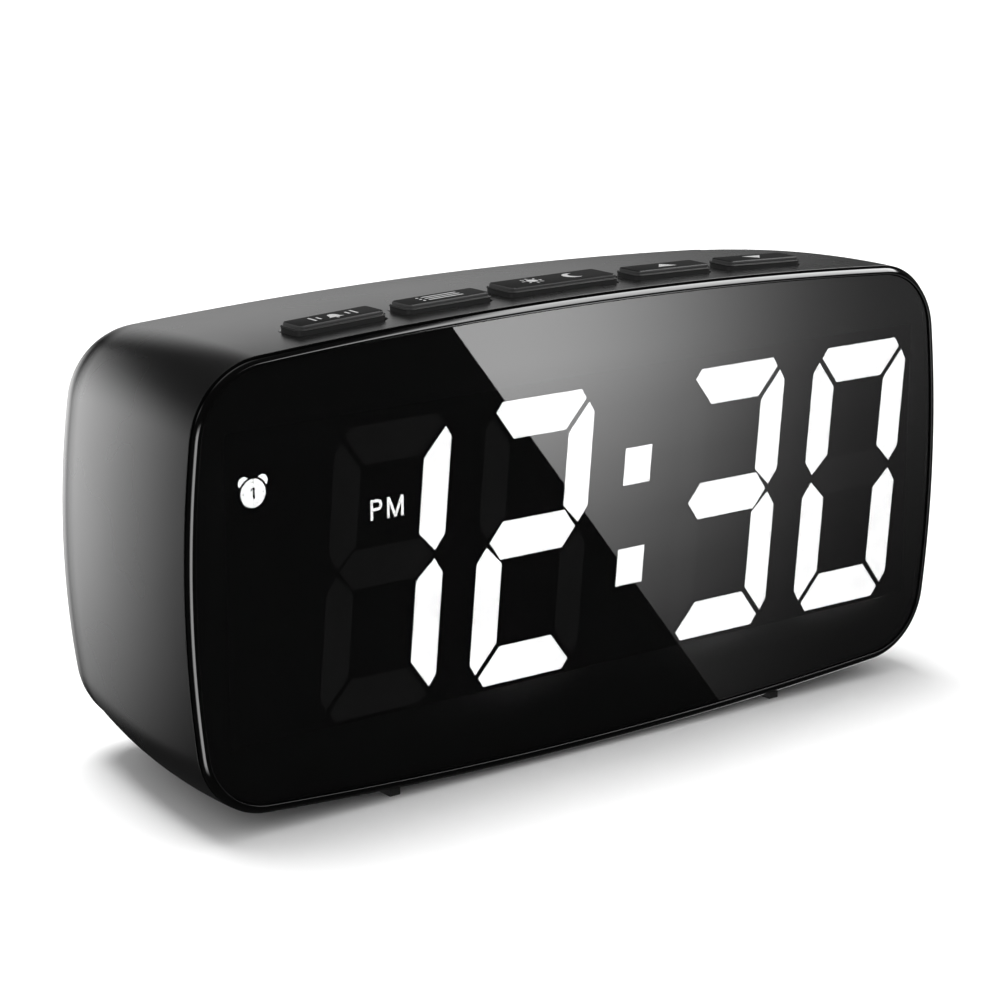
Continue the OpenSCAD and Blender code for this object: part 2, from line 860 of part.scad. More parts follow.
module rear_housing() {
    color("#3a3c3f")
    difference() {
        loft(outer_rings());
        difference() {
            loft(inner_rings());
            case_bosses();
            key_posts();
            bay_block();
            socket_cheeks();
        }
        for (i = [0 : 4]) key_window(i);
        bay_cuts();
        screw_cuts();
        sound_holes();
        bar_y(socket_x, socket_z, socket_r + 0.2, back_y - wall - 1, back_y + 1);
        at_key_posts() translate([0, 0, key_board_top - 1])
        cylinder(r = key_screw_r, h = key_screw_reach + 1);
        for (s = [-1, 1]) foot_bar(s * foot_x + foot_shift, 1);
    }
}

module left_foot() { color("#111111") foot_bar(-foot_x + foot_shift, 0); }
module right_foot() { color("#111111") foot_bar(foot_x + foot_shift, 0); }

module case_screws() {
    color("silver")
    at_posts() {
        y = board_back_y + screw_floor;
        difference() {
            bar_y(0, 0, screw_head_r, y, y + screw_head_h);
            box(-1.7, 1.7, y + screw_head_h - 0.9, y + 5, -0.3, 0.3);
            box(-0.3, 0.3, y + screw_head_h - 0.9, y + 5, -1.7, 1.7);
        }
        bar_y(0, 0, screw_r, board_front_y - screw_depth, y + eps);
    }
}

// ---------- Power and sound ----------

socket_len = 13;
module power_socket() {
    face_y = back_y - 0.2;
    back_face = back_y - wall;
    color("#202022")
    difference() {
        union() {
            box(socket_x - 4.6, socket_x + 4.6, back_face - socket_len, back_face,
                socket_z - 4.8, socket_z + 4.8);
            bar_y(socket_x, socket_z, socket_r, back_face - eps, face_y);
        }
        difference() {
            bar_y(socket_x, socket_z, socket_bore_r, face_y - 9.5, face_y + 1);
            bar_y(socket_x, socket_z, socket_pin_r, face_y - 10, face_y - 1);
        }
    }
}

module buzzer() {
    color("#151515")
    difference() {
        bar_y(buzzer_x, buzzer_z, buzzer_r, back_y - wall - buzzer_h, back_y - wall);
        bar_y(buzzer_x, buzzer_z, 3.9, back_y - wall - 0.8, back_y - wall + 1);
    }
}

// A pair of wires along the depth from a to b, straight for a stretch at both ends
lead_r = 0.6;
lead_end_gap = 0.05;
module lead_pair(a, a_straight, b, b_straight) {
    for (s = [-1, 1]) {
        start = a + [s * 1.1, lead_end_gap, 0];
        end = b + [s * 1.1, -lead_end_gap, 0];
        tube(bezier(start, start + [0, a_straight, 0], end - [0, b_straight, 0], end, 12), lead_r, 6);
    }
}
lead_start_y = board_back_y + header_d;
module buzzer_leads() {
    color("#b02020")
    lead_pair([header_xs[0], lead_start_y, header_z], 12,
        [buzzer_x, back_y - wall - buzzer_h, buzzer_z - 4], 10);
}
module battery_leads() {
    color("#b02020")
    lead_pair([header_xs[1], lead_start_y, header_z], 6,
        [header_xs[1] - 2, bay_floor_y - bay_wall, centre_z - 12], 8);
}
module power_leads() {
    color("#202020")
    lead_pair([header_xs[2], lead_start_y, header_z], 10,
        [socket_x, back_y - wall - socket_len, socket_z], 10);
}

// ---------- Battery bay ----------

function cell_z(k) = centre_z + k * cell_pitch;
contact_y = back_y - recess_d - bay_d / 2 - 0.2;
plate_t = 0.4;
plate_w = 8.4;
spring_turns = 4;
spring_l = 5;
spring_wire = 0.35;
module battery_plates() {
    color("silver")
    for (k = cell_steps, s = [-1, 1]) {
        x = s * (bay_l / 2 - plate_t / 2);
        box(x - plate_t / 2, x + plate_t / 2, contact_y - plate_w / 2, contact_y + plate_w / 2,
            cell_z(k) - plate_w / 2, cell_z(k) + plate_w / 2);
    }
}
// Cone of wire on the plate at the negative end of each cell
module battery_springs() {
    color("silver")
    for (k = cell_steps) {
        s = k == 0 ? -1 : 1;
        x0 = s * (bay_l / 2 - plate_t - spring_wire);
        tube([
            for (i = [0 : 11 * spring_turns])
                let (t = i / (11 * spring_turns), a = 360 * spring_turns * t, r = lerp(3.4, 1.8, t))
                [x0 - s * spring_l * t, contact_y + r * cos(a), cell_z(k) + r * sin(a)]
        ], spring_wire, 6);
    }
}

door_back_y = back_y - 0.1;
module battery_door() {
    bottom = centre_z - door_h / 2;
    color("#3a3c3f")
    difference() {
        union() {
            box(-door_w / 2, door_w / 2, door_back_y - door_t, door_back_y, bottom, bottom + door_h);
            for (s = [-1, 1]) {
                box(s * tab_x - tab_w / 2, s * tab_x + tab_w / 2, door_back_y - door_t,
                    door_back_y - door_t + tab_t, bottom - tab_l, bottom + 1);
            }
            // Ribs inside the bay that keep the cells in place
            for (s = [-1, 1]) {
                box(-bay_l / 2 + 8, bay_l / 2 - 8, door_back_y - door_t - 1, door_back_y - door_t + eps,
                    centre_z + s * cell_pitch / 2 - 0.5, centre_z + s * cell_pitch / 2 + 0.5);
            }
        }
        // Thumb notch
        translate([0, door_back_y + 2.2, bottom + door_h - 4]) rotate([0, 90, 0])
        cylinder(r = 3, h = 12, center = true);
    }
}

rear_housing();
front_bezel();
display_lens();
lens_tape();
diffuser_film();
display_reflector();
hour_tens_lit();
hour_tens_unlit();
hour_units_lit();
hour_units_unlit();
minute_tens_lit();
minute_tens_unlit();
minute_units_lit();
minute_units_unlit();
colon_dots();
pm_indicator();
alarm_indicator();
led_chips();
display_board();
driver_chip();
clock_crystal();
capacitors();
lead_headers();
key_board();
tact_switches();
key_board_screws();
alarm_button();
alarm_plunger();
mode_button();
mode_plunger();
snooze_button();
snooze_plunger();
up_button();
up_plunger();
down_button();
down_plunger();
key_ribbon();
buzzer();
buzzer_leads();
power_socket();
power_leads();
battery_springs();
battery_plates();
battery_leads();
battery_door();
case_screws();
left_foot();
right_foot();
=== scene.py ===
"""Looks of the bedside alarm clock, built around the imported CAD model.

Sizes are in millimetres, and meshes are scaled to metres as they are made.
X runs left to right seen from the front, Y front to back, Z up, as in the CAD model.
"""

import math

import bmesh
import bpy
from mathutils import Matrix, Vector


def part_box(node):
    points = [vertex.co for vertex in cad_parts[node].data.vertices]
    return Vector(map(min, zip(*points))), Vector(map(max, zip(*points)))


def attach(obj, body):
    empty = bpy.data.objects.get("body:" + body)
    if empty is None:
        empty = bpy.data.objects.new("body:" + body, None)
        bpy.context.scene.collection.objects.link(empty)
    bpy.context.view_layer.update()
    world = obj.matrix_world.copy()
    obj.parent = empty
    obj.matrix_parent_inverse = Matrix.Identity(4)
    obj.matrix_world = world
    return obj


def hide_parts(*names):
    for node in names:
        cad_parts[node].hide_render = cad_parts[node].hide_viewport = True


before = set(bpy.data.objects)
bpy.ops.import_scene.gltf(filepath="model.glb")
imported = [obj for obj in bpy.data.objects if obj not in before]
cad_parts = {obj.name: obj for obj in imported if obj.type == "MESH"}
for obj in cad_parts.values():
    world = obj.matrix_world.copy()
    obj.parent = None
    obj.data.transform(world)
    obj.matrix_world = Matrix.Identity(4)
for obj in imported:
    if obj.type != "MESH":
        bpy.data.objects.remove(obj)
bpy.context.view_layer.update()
MM = 0.001


def box_mm(node):
    """Lowest and highest corner of a CAD node, in millimetres."""
    low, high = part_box(node)
    return low / MM, high / MM


# ---------- Sizes ----------

bezel_lo, bezel_hi = box_mm("front_bezel")
shell_lo, shell_hi = box_mm("rear_housing")
lens_lo, lens_hi = box_mm("display_lens")
door_lo, door_hi = box_mm("battery_door")
board_lo, board_hi = box_mm("display_board")
reflector_lo, reflector_hi = box_mm("display_reflector")

BODY_W = bezel_hi.x - bezel_lo.x
BODY_H = bezel_hi.z - bezel_lo.z
CENTRE_Z = (bezel_hi.z + bezel_lo.z) / 2
FRONT_Y = bezel_lo.y
SHELL_Y = shell_lo.y
BACK_Y = shell_hi.y
REAR_W = 155
REAR_H = 75
REAR_DROP = 0.5  # how much lower the middle of the body is at the back
BULGE = 1  # how far the walls swell halfway along
CORNER_R = 13.7
CROWN_TOP = 3.5
CROWN_TOP_REAR = CROWN_TOP * 0.8
CROWN_SIDE = 4
CROWN_SIDE_REAR = CROWN_SIDE * 1.15
BACK_R = 9.3
WALL = 2
TURN_Y = BACK_Y - BACK_R
SEAM = 0.2  # gap between the bezel and the shell
LIP_T = 0.7  # the shell's thin front edge, which goes round the bezel's neck
LIP_R = 0.12
LIP_BACK_Y = SHELL_Y + 1.5

RIM_W = 1.5
RIM_DROP = 0.22
CHAMFER_IN = 0.8
CHAMFER_DEEP = 0.95
CHAMFER_FLATNESS = 1.65  # 1 is a quarter round, and 2 a straight chamfer
LENS_INSET = RIM_W + 0.1
LEDGE_IN = 3.8
SKIRT_OUT = 2.3
TAPE_T = 0.15
LEDGE_Y = lens_hi.y + TAPE_T
SKIRT_BACK_Y = FRONT_Y + 4

POST_X = 64
POST_Z = 30.2
POST_R = 3
WEB_T = 2.4
WEB_H = 4.8
BOSS_R = 4.2
SCREW_RECESS_R = 2.9
SCREW_R = 1.25
SCREW_FLOOR_Y = board_hi.y + 3

KEYS = ("alarm", "mode", "snooze", "up", "down")
KEY_STEPS = (-45.9, -24.4, 0, 24.4, 45.9)
KEY_ROW_X = -2
KEY_SIZE = (17.4, 6.2)
SNOOZE_SIZE = (23.6, 7.7)
KEY_FRONT_Y = FRONT_Y + 6.7
KEY_CORNER = 1.2
KEY_GAP = 0.3
KEY_PROUD = 1.5
KEY_TIER = 0.75
KEY_FLANGE = 0.7
KEY_FLANGE_T = 0.9
KEY_POST_Y = KEY_FRONT_Y + 10.2

BAY_W = 54
BAY_H = 35
BAY_WALL = 1.6
DOOR_W = door_hi.x - door_lo.x
DOOR_H = BAY_H + 5
DOOR_BOTTOM = CENTRE_Z - DOOR_H / 2
DOOR_T = 1.6
DOOR_GAP = 0.3
RECESS_D = DOOR_T + 0.2
BAY_FLOOR_Y = BACK_Y - RECESS_D - 11.7
TAB_X = 16
TAB_W = 6

SOCKET_X = 48
SOCKET_Z = CENTRE_Z - 20
SOCKET_R = 4
CHEEK_X = 5.6
BUZZER_X = -49
BUZZER_Z = CENTRE_Z + 2
SOUND_RING_R = 3
SOUND_HOLE_R = 0.9


# ---------- Outline of the body, by the same rules as in the CAD model ----------

def lerp(a, b, t):
    return a + (b - a) * t


def clamp01(t):
    return max(0.0, min(1.0, t))


def crown_radius(half, rise):
    """Radius of an arc from half its chord and its rise."""
    return (half * half + rise * rise) / (2 * rise)


def arc(centre, radius, start, end, steps):
    """Points of an arc, without its last one. Angles are in radians."""
    angles = [lerp(start, end, i / steps) for i in range(steps)]
    return [(centre[0] + radius * math.cos(a), centre[1] + radius * math.sin(a)) for a in angles]


def corner_centre(c1, r1, c2, r2, r):
    """Centre of the corner arc that touches the top arc and the side arc from inside."""
    a, b = r1 - r, r2 - r
    dx, dz = c2[0] - c1[0], c2[1] - c1[1]
    d = math.hypot(dx, dz)
    along = (a * a - b * b + d * d) / (2 * d)
    across = math.sqrt(a * a - along * along)
    ex, ez = dx / d, dz / d
    return c1[0] + ex * along + ez * across, c1[1] + ez * along - ex * across


TOP_STEPS, CORNER_STEPS, SIDE_STEPS = 26, 16, 12


def outline(w, h, rise_t, rise_s, inset):
    """Closed outline with half sizes w and h, moved in by inset."""
    r1, r2 = crown_radius(w, rise_t), crown_radius(h, rise_s)
    c1, c2 = (0, h - r1), (w - r2, 0)
    cx, cz = corner_centre(c1, r1, c2, r2, CORNER_R)
    t1 = math.atan2(cz - c1[1], cx - c1[0])
    t2 = math.atan2(cz - c2[1], cx - c2[0])
    q = CORNER_R - inset
    half_turn = math.pi
    return (
        arc(c1, r1 - inset, half_turn - t1, t1, 2 * TOP_STEPS)
        + arc((cx, cz), q, t1, t2, CORNER_STEPS)
        + arc(c2, r2 - inset, t2, -t2, 2 * SIDE_STEPS)
        + arc((cx, -cz), q, -t2, -t1, CORNER_STEPS)
        + arc((0, -c1[1]), r1 - inset, -t1, t1 - half_turn, 2 * TOP_STEPS)
        + arc((-cx, -cz), q, t1 - half_turn, t2 - half_turn, CORNER_STEPS)
        + arc((-c2[0], 0), r2 - inset, t2 - half_turn, -half_turn - t2, 2 * SIDE_STEPS)
        + arc((-cx, cz), q, -half_turn - t2, -half_turn - t1, CORNER_STEPS)
    )


def depth_share(y):
    """How far back a depth lies on the walls, from 0 at the parting line to 1 at the turn."""
    return clamp01((y - SHELL_Y) / (TURN_Y - SHELL_Y))


def half_size(front, rear, t):
    return lerp(front, rear, t) / 2 + 4 * t * (1 - t) * BULGE


def rise_top(t):
    return lerp(CROWN_TOP, CROWN_TOP_REAR, t)


def mid_z(t):
    return CENTRE_Z - REAR_DROP * t


def section(y, inset):
    """Ring of points round the body at depth y, moved in by inset."""
    t = depth_share(y)
    w, h = half_size(BODY_W, REAR_W, t), half_size(BODY_H, REAR_H, t)
    rise_side = lerp(CROWN_SIDE, CROWN_SIDE_REAR, t)
    return [Vector((x, y, z + mid_z(t))) for x, z in outline(w, h, rise_top(t), rise_side, inset)]


def top_radius(y):
    t = depth_share(y)
    return crown_radius(half_size(BODY_W, REAR_W, t), rise_top(t))


def top_z(x, y):
    """Height of the outer top surface."""
    t, r = depth_share(y), top_radius(y)
    return mid_z(t) + half_size(BODY_H, REAR_H, t) - r + math.sqrt(r * r - x * x)


# ---------- Mesh helpers ----------

SHARP_DEGREES = 32


def skin(rings, closed=False):
    """Points and faces through a list of rings, with flat caps or closed end to end."""
    n, m = len(rings[0]), len(rings)
    points = [p for ring in rings for p in ring]
    faces = []
    for j in range(m if closed else m - 1):
        k = (j + 1) % m
        for a in range(n):
            b = (a + 1) % n
            faces.append((j * n + a, k * n + a, k * n + b, j * n + b))
    if not closed:
        faces.append(tuple(range(n)))
        faces.append(tuple((m - 1) * n + i for i in reversed(range(n))))
    return points, faces


def joined(parts):
    """Several sets of points and faces as one."""
    points, faces = [], []
    for more_points, more_faces in parts:
        start = len(points)
        points += more_points
        faces += [tuple(start + i for i in f) for f in more_faces]
    return points, faces


def moved(part, matrix):
    points, faces = part
    return [matrix @ Vector(p) for p in points], faces


def rounded_rect(w, h, r, steps=6):
    """Flat outline of a rounded rectangle as (u, v) points, going round to the left."""
    points = []
    for i, (sx, sy) in enumerate(((1, 1), (-1, 1), (-1, -1), (1, -1))):
        start = i * math.pi / 2
        centre = (sx * (w / 2 - r), sy * (h / 2 - r))
        points += arc(centre, r, start, start + math.pi / 2, steps)
        points.append((centre[0] + r * math.cos(start + math.pi / 2),
                       centre[1] + r * math.sin(start + math.pi / 2)))
    return points


def stack(levels, w, h, r):
    """Solid whose rounded rectangle grows at each level: levels are (grow, height)."""
    rings = []
    for grow, z in levels:
        flat = rounded_rect(w + 2 * grow, h + 2 * grow, max(r + grow, 0.05))
        rings.append([Vector((u, v, z)) for u, v in flat])
    return skin(rings)


def turned(profile, steps=48):
    """Solid of revolution about the local Z: profile is a list of (radius, height)."""
    rings = []
    for r, z in profile:
        rings.append([
            Vector((r * math.cos(2 * math.pi * i / steps), r * math.sin(2 * math.pi * i / steps), z))
            for i in range(steps)
        ])
    return skin(rings)


def backward(x, z):
    """Placement whose local Z runs towards the back and whose local Y runs up."""
    turn = Matrix(((-1, 0, 0, 0), (0, 0, 1, 0), (0, 1, 0, 0), (0, 0, 0, 1)))
    return Matrix.Translation((x, 0, z)) @ turn


def slab(x0, x1, y0, y1, z0, z1):
    corners = [(x0, z0), (x1, z0), (x1, z1), (x0, z1)]
    return skin([[Vector((x, y, z)) for x, z in corners] for y in (y0, y1)])


def extruded(outline_points, z0, z1):
    return skin([[Vector((u, v, z)) for u, v in outline_points] for z in (z0, z1)])


def make_mesh(name, part):
    points, faces = part
    mesh = bpy.data.meshes.new(name)
    mesh.from_pydata([Vector(p) * MM for p in points], [], faces)
    bm = bmesh.new()
    bm.from_mesh(mesh)
    bmesh.ops.recalc_face_normals(bm, faces=bm.faces)
    bm.to_mesh(mesh)
    bm.free()
    obj = bpy.data.objects.new(name, mesh)
    bpy.context.scene.collection.objects.link(obj)
    return obj


def boolean(obj, operation, part):
    """Cuts obj by a solid given as points and faces, or joins the solid to it."""
    tool = make_mesh("tool", part)
    modifier = obj.modifiers.new("boolean", "BOOLEAN")
    modifier.operation = operation
    modifier.solver = "MANIFOLD"
    modifier.object = tool
    graph = bpy.context.evaluated_depsgraph_get()
    mesh = bpy.data.meshes.new_from_object(obj.evaluated_get(graph))
    obj.modifiers.clear()
    old = obj.data
    obj.data = mesh
    bpy.data.meshes.remove(old)
    bpy.data.objects.remove(tool)


def smooth(obj, degrees=SHARP_DEGREES):
    """Smooth shading, with edges sharper than the angle kept sharp."""
    bm = bmesh.new()
    bm.from_mesh(obj.data)
    bmesh.ops.remove_doubles(bm, verts=bm.verts, dist=0.0005 * MM)
    limit = math.radians(degrees)
    for face in bm.faces:
        face.smooth = True
    for edge in bm.edges:
        edge.smooth = len(edge.link_faces) == 2 and edge.calc_face_angle(0) < limit
    bm.to_mesh(obj.data)
    bm.free()
    return obj


def level(obj):
    """Shading normals that follow the larger faces, so that the flat ones look flat."""
    obj.modifiers.new("level", "WEIGHTED_NORMAL").keep_sharp = True


def settle(obj, material, body, nodes=()):
    """Gives a piece its material and body, and hides the CAD nodes it stands for."""
    obj.data.materials.clear()
    obj.data.materials.append(material)
    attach(obj, body)
    if nodes:
        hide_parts(*nodes)
    return obj


def piece(name, part, material, body, nodes=(), degrees=SHARP_DEGREES):
    return settle(smooth(make_mesh(name, part), degrees), material, body, nodes)


# ---------- Materials ----------

class Tree:
    """Short calls for building a node tree."""

    def __init__(self, name):
        self.material = bpy.data.materials.new(name)
        self.material.use_nodes = True
        self.tree = self.material.node_tree
        self.tree.nodes.clear()
        self.output = self.tree.nodes.new("ShaderNodeOutputMaterial")

    def node(self, kind, links=None, **settings):
        made = self.tree.nodes.new(kind)
        for key, value in settings.items():
            setattr(made, key, value)
        for key, value in (links or {}).items():
            if isinstance(value, bpy.types.NodeSocket):
                self.tree.links.new(value, made.inputs[key])
            else:
                made.inputs[key].default_value = value
        return made

    def place(self):
        """Where a point is on its piece, in metres."""
        return self.node("ShaderNodeTexCoord").outputs["Object"]

    def noise(self, scale, detail=3.0, roughness=0.5):
        links = {"Vector": self.place(), "Scale": scale, "Detail": detail, "Roughness": roughness}
        return self.node("ShaderNodeTexNoise", links).outputs["Fac"]

    def spread(self, value, low, high):
        """A 0 to 1 value mapped to low to high."""
        links = {"Value": value, "To Min": low, "To Max": high}
        return self.node("ShaderNodeMapRange", links).outputs["Result"]

    def shades(self, value, dark, light):
        """A colour between dark and light."""
        ramp = self.node("ShaderNodeValToRGB", {"Fac": value})
        ramp.color_ramp.elements[0].position = 0.25
        ramp.color_ramp.elements[1].position = 0.75
        ramp.color_ramp.elements[0].color = (*dark, 1)
        ramp.color_ramp.elements[1].color = (*light, 1)
        return ramp.outputs["Color"]

    def bump(self, height, strength, distance):
        links = {"Height": height, "Strength": strength, "Distance": distance * MM}
        return self.node("ShaderNodeBump", links).outputs["Normal"]

    def finish(self, shader):
        self.tree.links.new(shader, self.output.inputs["Surface"])
        return self.material


def plastic(name, dark, light, rough, grain_mm, depth_mm, ior=1.49, spread=0.06):
    """Moulded plastic: a fine grain in the surface, with gentle changes in tone and gloss."""
    t = Tree(name)
    patches = t.noise(45.0, 2.0)
    grain = t.noise(1000.0 / grain_mm, 2.0, 0.6)
    shader = t.node("ShaderNodeBsdfPrincipled", {
        "Base Color": t.shades(patches, dark, light),
        "Roughness": t.spread(patches, rough - spread / 2, rough + spread / 2),
        "IOR": ior,
        "Normal": t.bump(grain, 1.0, depth_mm),
    })
    return t.finish(shader.outputs[0])


def metal(name, dark, light, rough, stretch=(1, 1, 1)):
    """Plated metal with fine streaks."""
    t = Tree(name)
    streaks = t.node("ShaderNodeMapping", {"Vector": t.place(), "Scale": stretch}).outputs[0]
    links = {"Vector": streaks, "Scale": 900.0, "Detail": 4.0}
    noise = t.node("ShaderNodeTexNoise", links).outputs["Fac"]
    shader = t.node("ShaderNodeBsdfPrincipled", {
        "Base Color": t.shades(noise, dark, light),
        "Roughness": t.spread(noise, rough, rough + 0.15),
        "Metallic": 1.0,
        "Normal": t.bump(noise, 0.6, 0.01),
    })
    return t.finish(shader.outputs[0])


def circuit_board(name):
    """Green solder mask over copper tracks."""
    t = Tree(name)
    upright = {"Vector": t.place(), "Rotation": (math.pi / 2, 0, 0)}
    tracks = t.node("ShaderNodeTexBrick", {
        "Vector": t.node("ShaderNodeMapping", upright).outputs[0],
        "Color1": (0.015, 0.11, 0.04, 1), "Color2": (0.012, 0.09, 0.035, 1),
        "Mortar": (0.02, 0.16, 0.06, 1), "Scale": 120.0, "Mortar Size": 0.03,
    })
    shader = t.node("ShaderNodeBsdfPrincipled", {
        "Base Color": tracks.outputs["Color"],
        "Roughness": t.spread(t.noise(300.0), 0.25, 0.4),
        "Normal": t.bump(tracks.outputs["Fac"], 0.5, 0.05),
    })
    return t.finish(shader.outputs[0])


def clear_pane(name, tint, rough, scatter, ior=1.49):
    """Flat clear plastic: reflects like a pane, and lets light straight through its tint
    apart from a small share that it scatters."""
    t = Tree(name)
    straight = t.node("ShaderNodeBsdfTransparent", {"Color": (*tint, 1)})
    dust = t.node("ShaderNodeBsdfDiffuse", {"Color": (0.5, 0.5, 0.5, 1)})
    share = t.spread(t.noise(40.0, 2.0), scatter * 0.9, scatter * 1.1)
    through = t.node("ShaderNodeMixShader", {0: share, 1: straight.outputs[0], 2: dust.outputs[0]})
    haze = t.spread(t.noise(60.0, 2.0), rough * 0.8, rough * 1.2)
    gloss = t.node("ShaderNodeBsdfGlossy", {"Color": (1, 1, 1, 1), "Roughness": haze})
    mirror = t.node("ShaderNodeFresnel", {"IOR": ior})
    links = {0: mirror.outputs[0], 1: through.outputs[0], 2: gloss.outputs[0]}
    return t.finish(t.node("ShaderNodeMixShader", links).outputs[0])


def tinted_sheet(name, dark, light, haze):
    """Tinted plastic without gloss: light goes straight through, apart from up to haze of it."""
    t = Tree(name)
    through = t.node("ShaderNodeBsdfTransparent", {"Color": t.shades(t.noise(80.0), dark, light)})
    dust = t.node("ShaderNodeBsdfDiffuse", {"Color": (0.5, 0.5, 0.5, 1)})
    links = {0: t.spread(t.noise(250.0), 0, haze), 1: through.outputs[0], 2: dust.outputs[0]}
    return t.finish(t.node("ShaderNodeMixShader", links).outputs[0])


def glowing(name, dim, bright, strength, scale):
    """Light coming out of resin, a little uneven from place to place. At a weak strength it is a painted glow
    that stands for room light on unlit segments.
    """
    t = Tree(name)
    glow = t.shades(t.noise(scale, 2.0), dim, bright)
    shader = t.node("ShaderNodeBsdfPrincipled", {
        "Base Color": glow,
        "Roughness": 0.5,
        "Emission Color": glow,
        "Emission Strength": strength,
    })
    return t.finish(shader.outputs[0])


def grey(value):
    return (value, value, value)


shell_plastic = plastic("shell_plastic", grey(0.0045), grey(0.0055), 0.27, 0.35, 0.0012)
bezel_plastic = plastic("bezel_plastic", grey(0.001), grey(0.0015), 0.09, 3.0, 0.0006, spread=0.03)
key_top_plastic = plastic("key_top_plastic", grey(0.007), grey(0.009), 0.5, 0.22, 0.003, ior=1.08)
# Painted light: a lighter copy of the key plastic for the buttons' sides, standing for the light that falls
# on them.
key_side_painted_light = plastic("key_side_painted_light", grey(0.036), grey(0.042), 0.36, 0.22, 0.003, ior=1.2)
print_paint = plastic("print_paint", grey(0.34), grey(0.4), 0.5, 0.2, 0.003)
# Painted shade: a darker, matt, almost unreflecting plastic for the gaps at the parting line and inside the
# bezel, where shade falls.
groove_painted_shade = plastic("groove_painted_shade", grey(0.001), grey(0.002), 0.6, 0.3, 0.002, ior=1.08)
inner_black = plastic("inner_black", grey(0.002), grey(0.003), 0.75, 0.3, 0.01)
chip_epoxy = plastic("chip_epoxy", grey(0.012), grey(0.02), 0.55, 0.12, 0.008)
nylon = plastic("nylon", (0.62, 0.59, 0.5), (0.68, 0.65, 0.56), 0.45, 0.4, 0.004)
foot_rubber = plastic("foot_rubber", grey(0.006), grey(0.009), 0.7, 0.25, 0.01)
red_wire = plastic("red_wire", (0.36, 0.01, 0.01), (0.42, 0.015, 0.012), 0.4, 0.8, 0.004)
black_wire = plastic("black_wire", grey(0.01), grey(0.014), 0.4, 0.8, 0.004)
cable_film = plastic("cable_film", (0.5, 0.46, 0.34), (0.56, 0.52, 0.4), 0.35, 1.2, 0.003)
can_sleeve = plastic("can_sleeve", (0.012, 0.02, 0.06), (0.018, 0.028, 0.075), 0.3, 0.9, 0.002)
led_resin = plastic("led_resin", (0.7, 0.6, 0.2), (0.78, 0.68, 0.26), 0.35, 0.3, 0.004)
steel = metal("steel", grey(0.42), grey(0.6), 0.25, (1, 1, 6))
spring_steel = metal("spring_steel", grey(0.5), grey(0.68), 0.2)
green_board = circuit_board("green_board")
smoked_pane = clear_pane("smoked_pane", grey(0.18), 0.008, 0.0026)
smoked_back = tinted_sheet("smoked_back", grey(0.94), grey(0.98), 0.0)
tint_film = tinted_sheet("tint_film", grey(0.86), grey(0.9), 0.0)
mask_print = plastic("mask_print", grey(0.034), grey(0.038), 0.75, 0.3, 0.01)
reflector_black = plastic("reflector_black", grey(0.07), grey(0.078), 0.75, 0.3, 0.01)
segment_light = glowing("segment_light", grey(0.97), grey(1.0), 8.2, 300.0)
# Painted light: unlit segments glow faintly, standing for the room light they give back through the lens.
unlit_segment_painted_glow = glowing("unlit_segment_painted_glow", grey(0.0095), grey(0.0125), 2.5, 120.0)


# ---------- Front ----------

def rim_profile():
    """Bezel section as (inset, depth) points: a soft chamfer outside, a small round inside."""
    inner_r = 0.06
    quarter = math.pi / 2
    outer = [
        (CHAMFER_IN * (1 - math.cos(a) ** CHAMFER_FLATNESS),
         FRONT_Y + CHAMFER_DEEP * (1 - math.sin(a) ** CHAMFER_FLATNESS))
        for a in (quarter * i / 12 for i in range(13))
    ]
    inner = [
        (RIM_W - inner_r * (1 - math.sin(a)), FRONT_Y + inner_r * (1 - math.cos(a)))
        for a in (quarter * i / 6 for i in range(7))
    ]
    parting_y = SHELL_Y - SEAM
    neck = LIP_T + 0.1
    neck_y = LIP_BACK_Y - 0.1
    return [
        (0.08, parting_y), (0, parting_y - 0.08), *outer, *inner, (RIM_W, LEDGE_Y),
        (LEDGE_IN, LEDGE_Y), (LEDGE_IN, SKIRT_BACK_Y), (SKIRT_OUT, SKIRT_BACK_Y),
        (SKIRT_OUT, neck_y), (neck, neck_y), (neck, parting_y),
    ]


def four_posts(part_at):
    """The same part at each corner post: part_at takes x, z and the side away from the middle."""
    return joined([
        part_at(sx * POST_X, CENTRE_Z + sz * POST_Z, sz) for sx in (-1, 1) for sz in (-1, 1)
    ])


def rim_ring(inset, y):
    """Ring of the bezel. Its outside is RIM_DROP smaller than the body and as much lower, so
    that it is flush at the bottom and shows the edge of the shell above it."""
    share = clamp01((RIM_W - inset) / RIM_W) if y < SHELL_Y else 0
    return [p - Vector((0, 0, RIM_DROP * share)) for p in section(y, inset + RIM_DROP * share)]


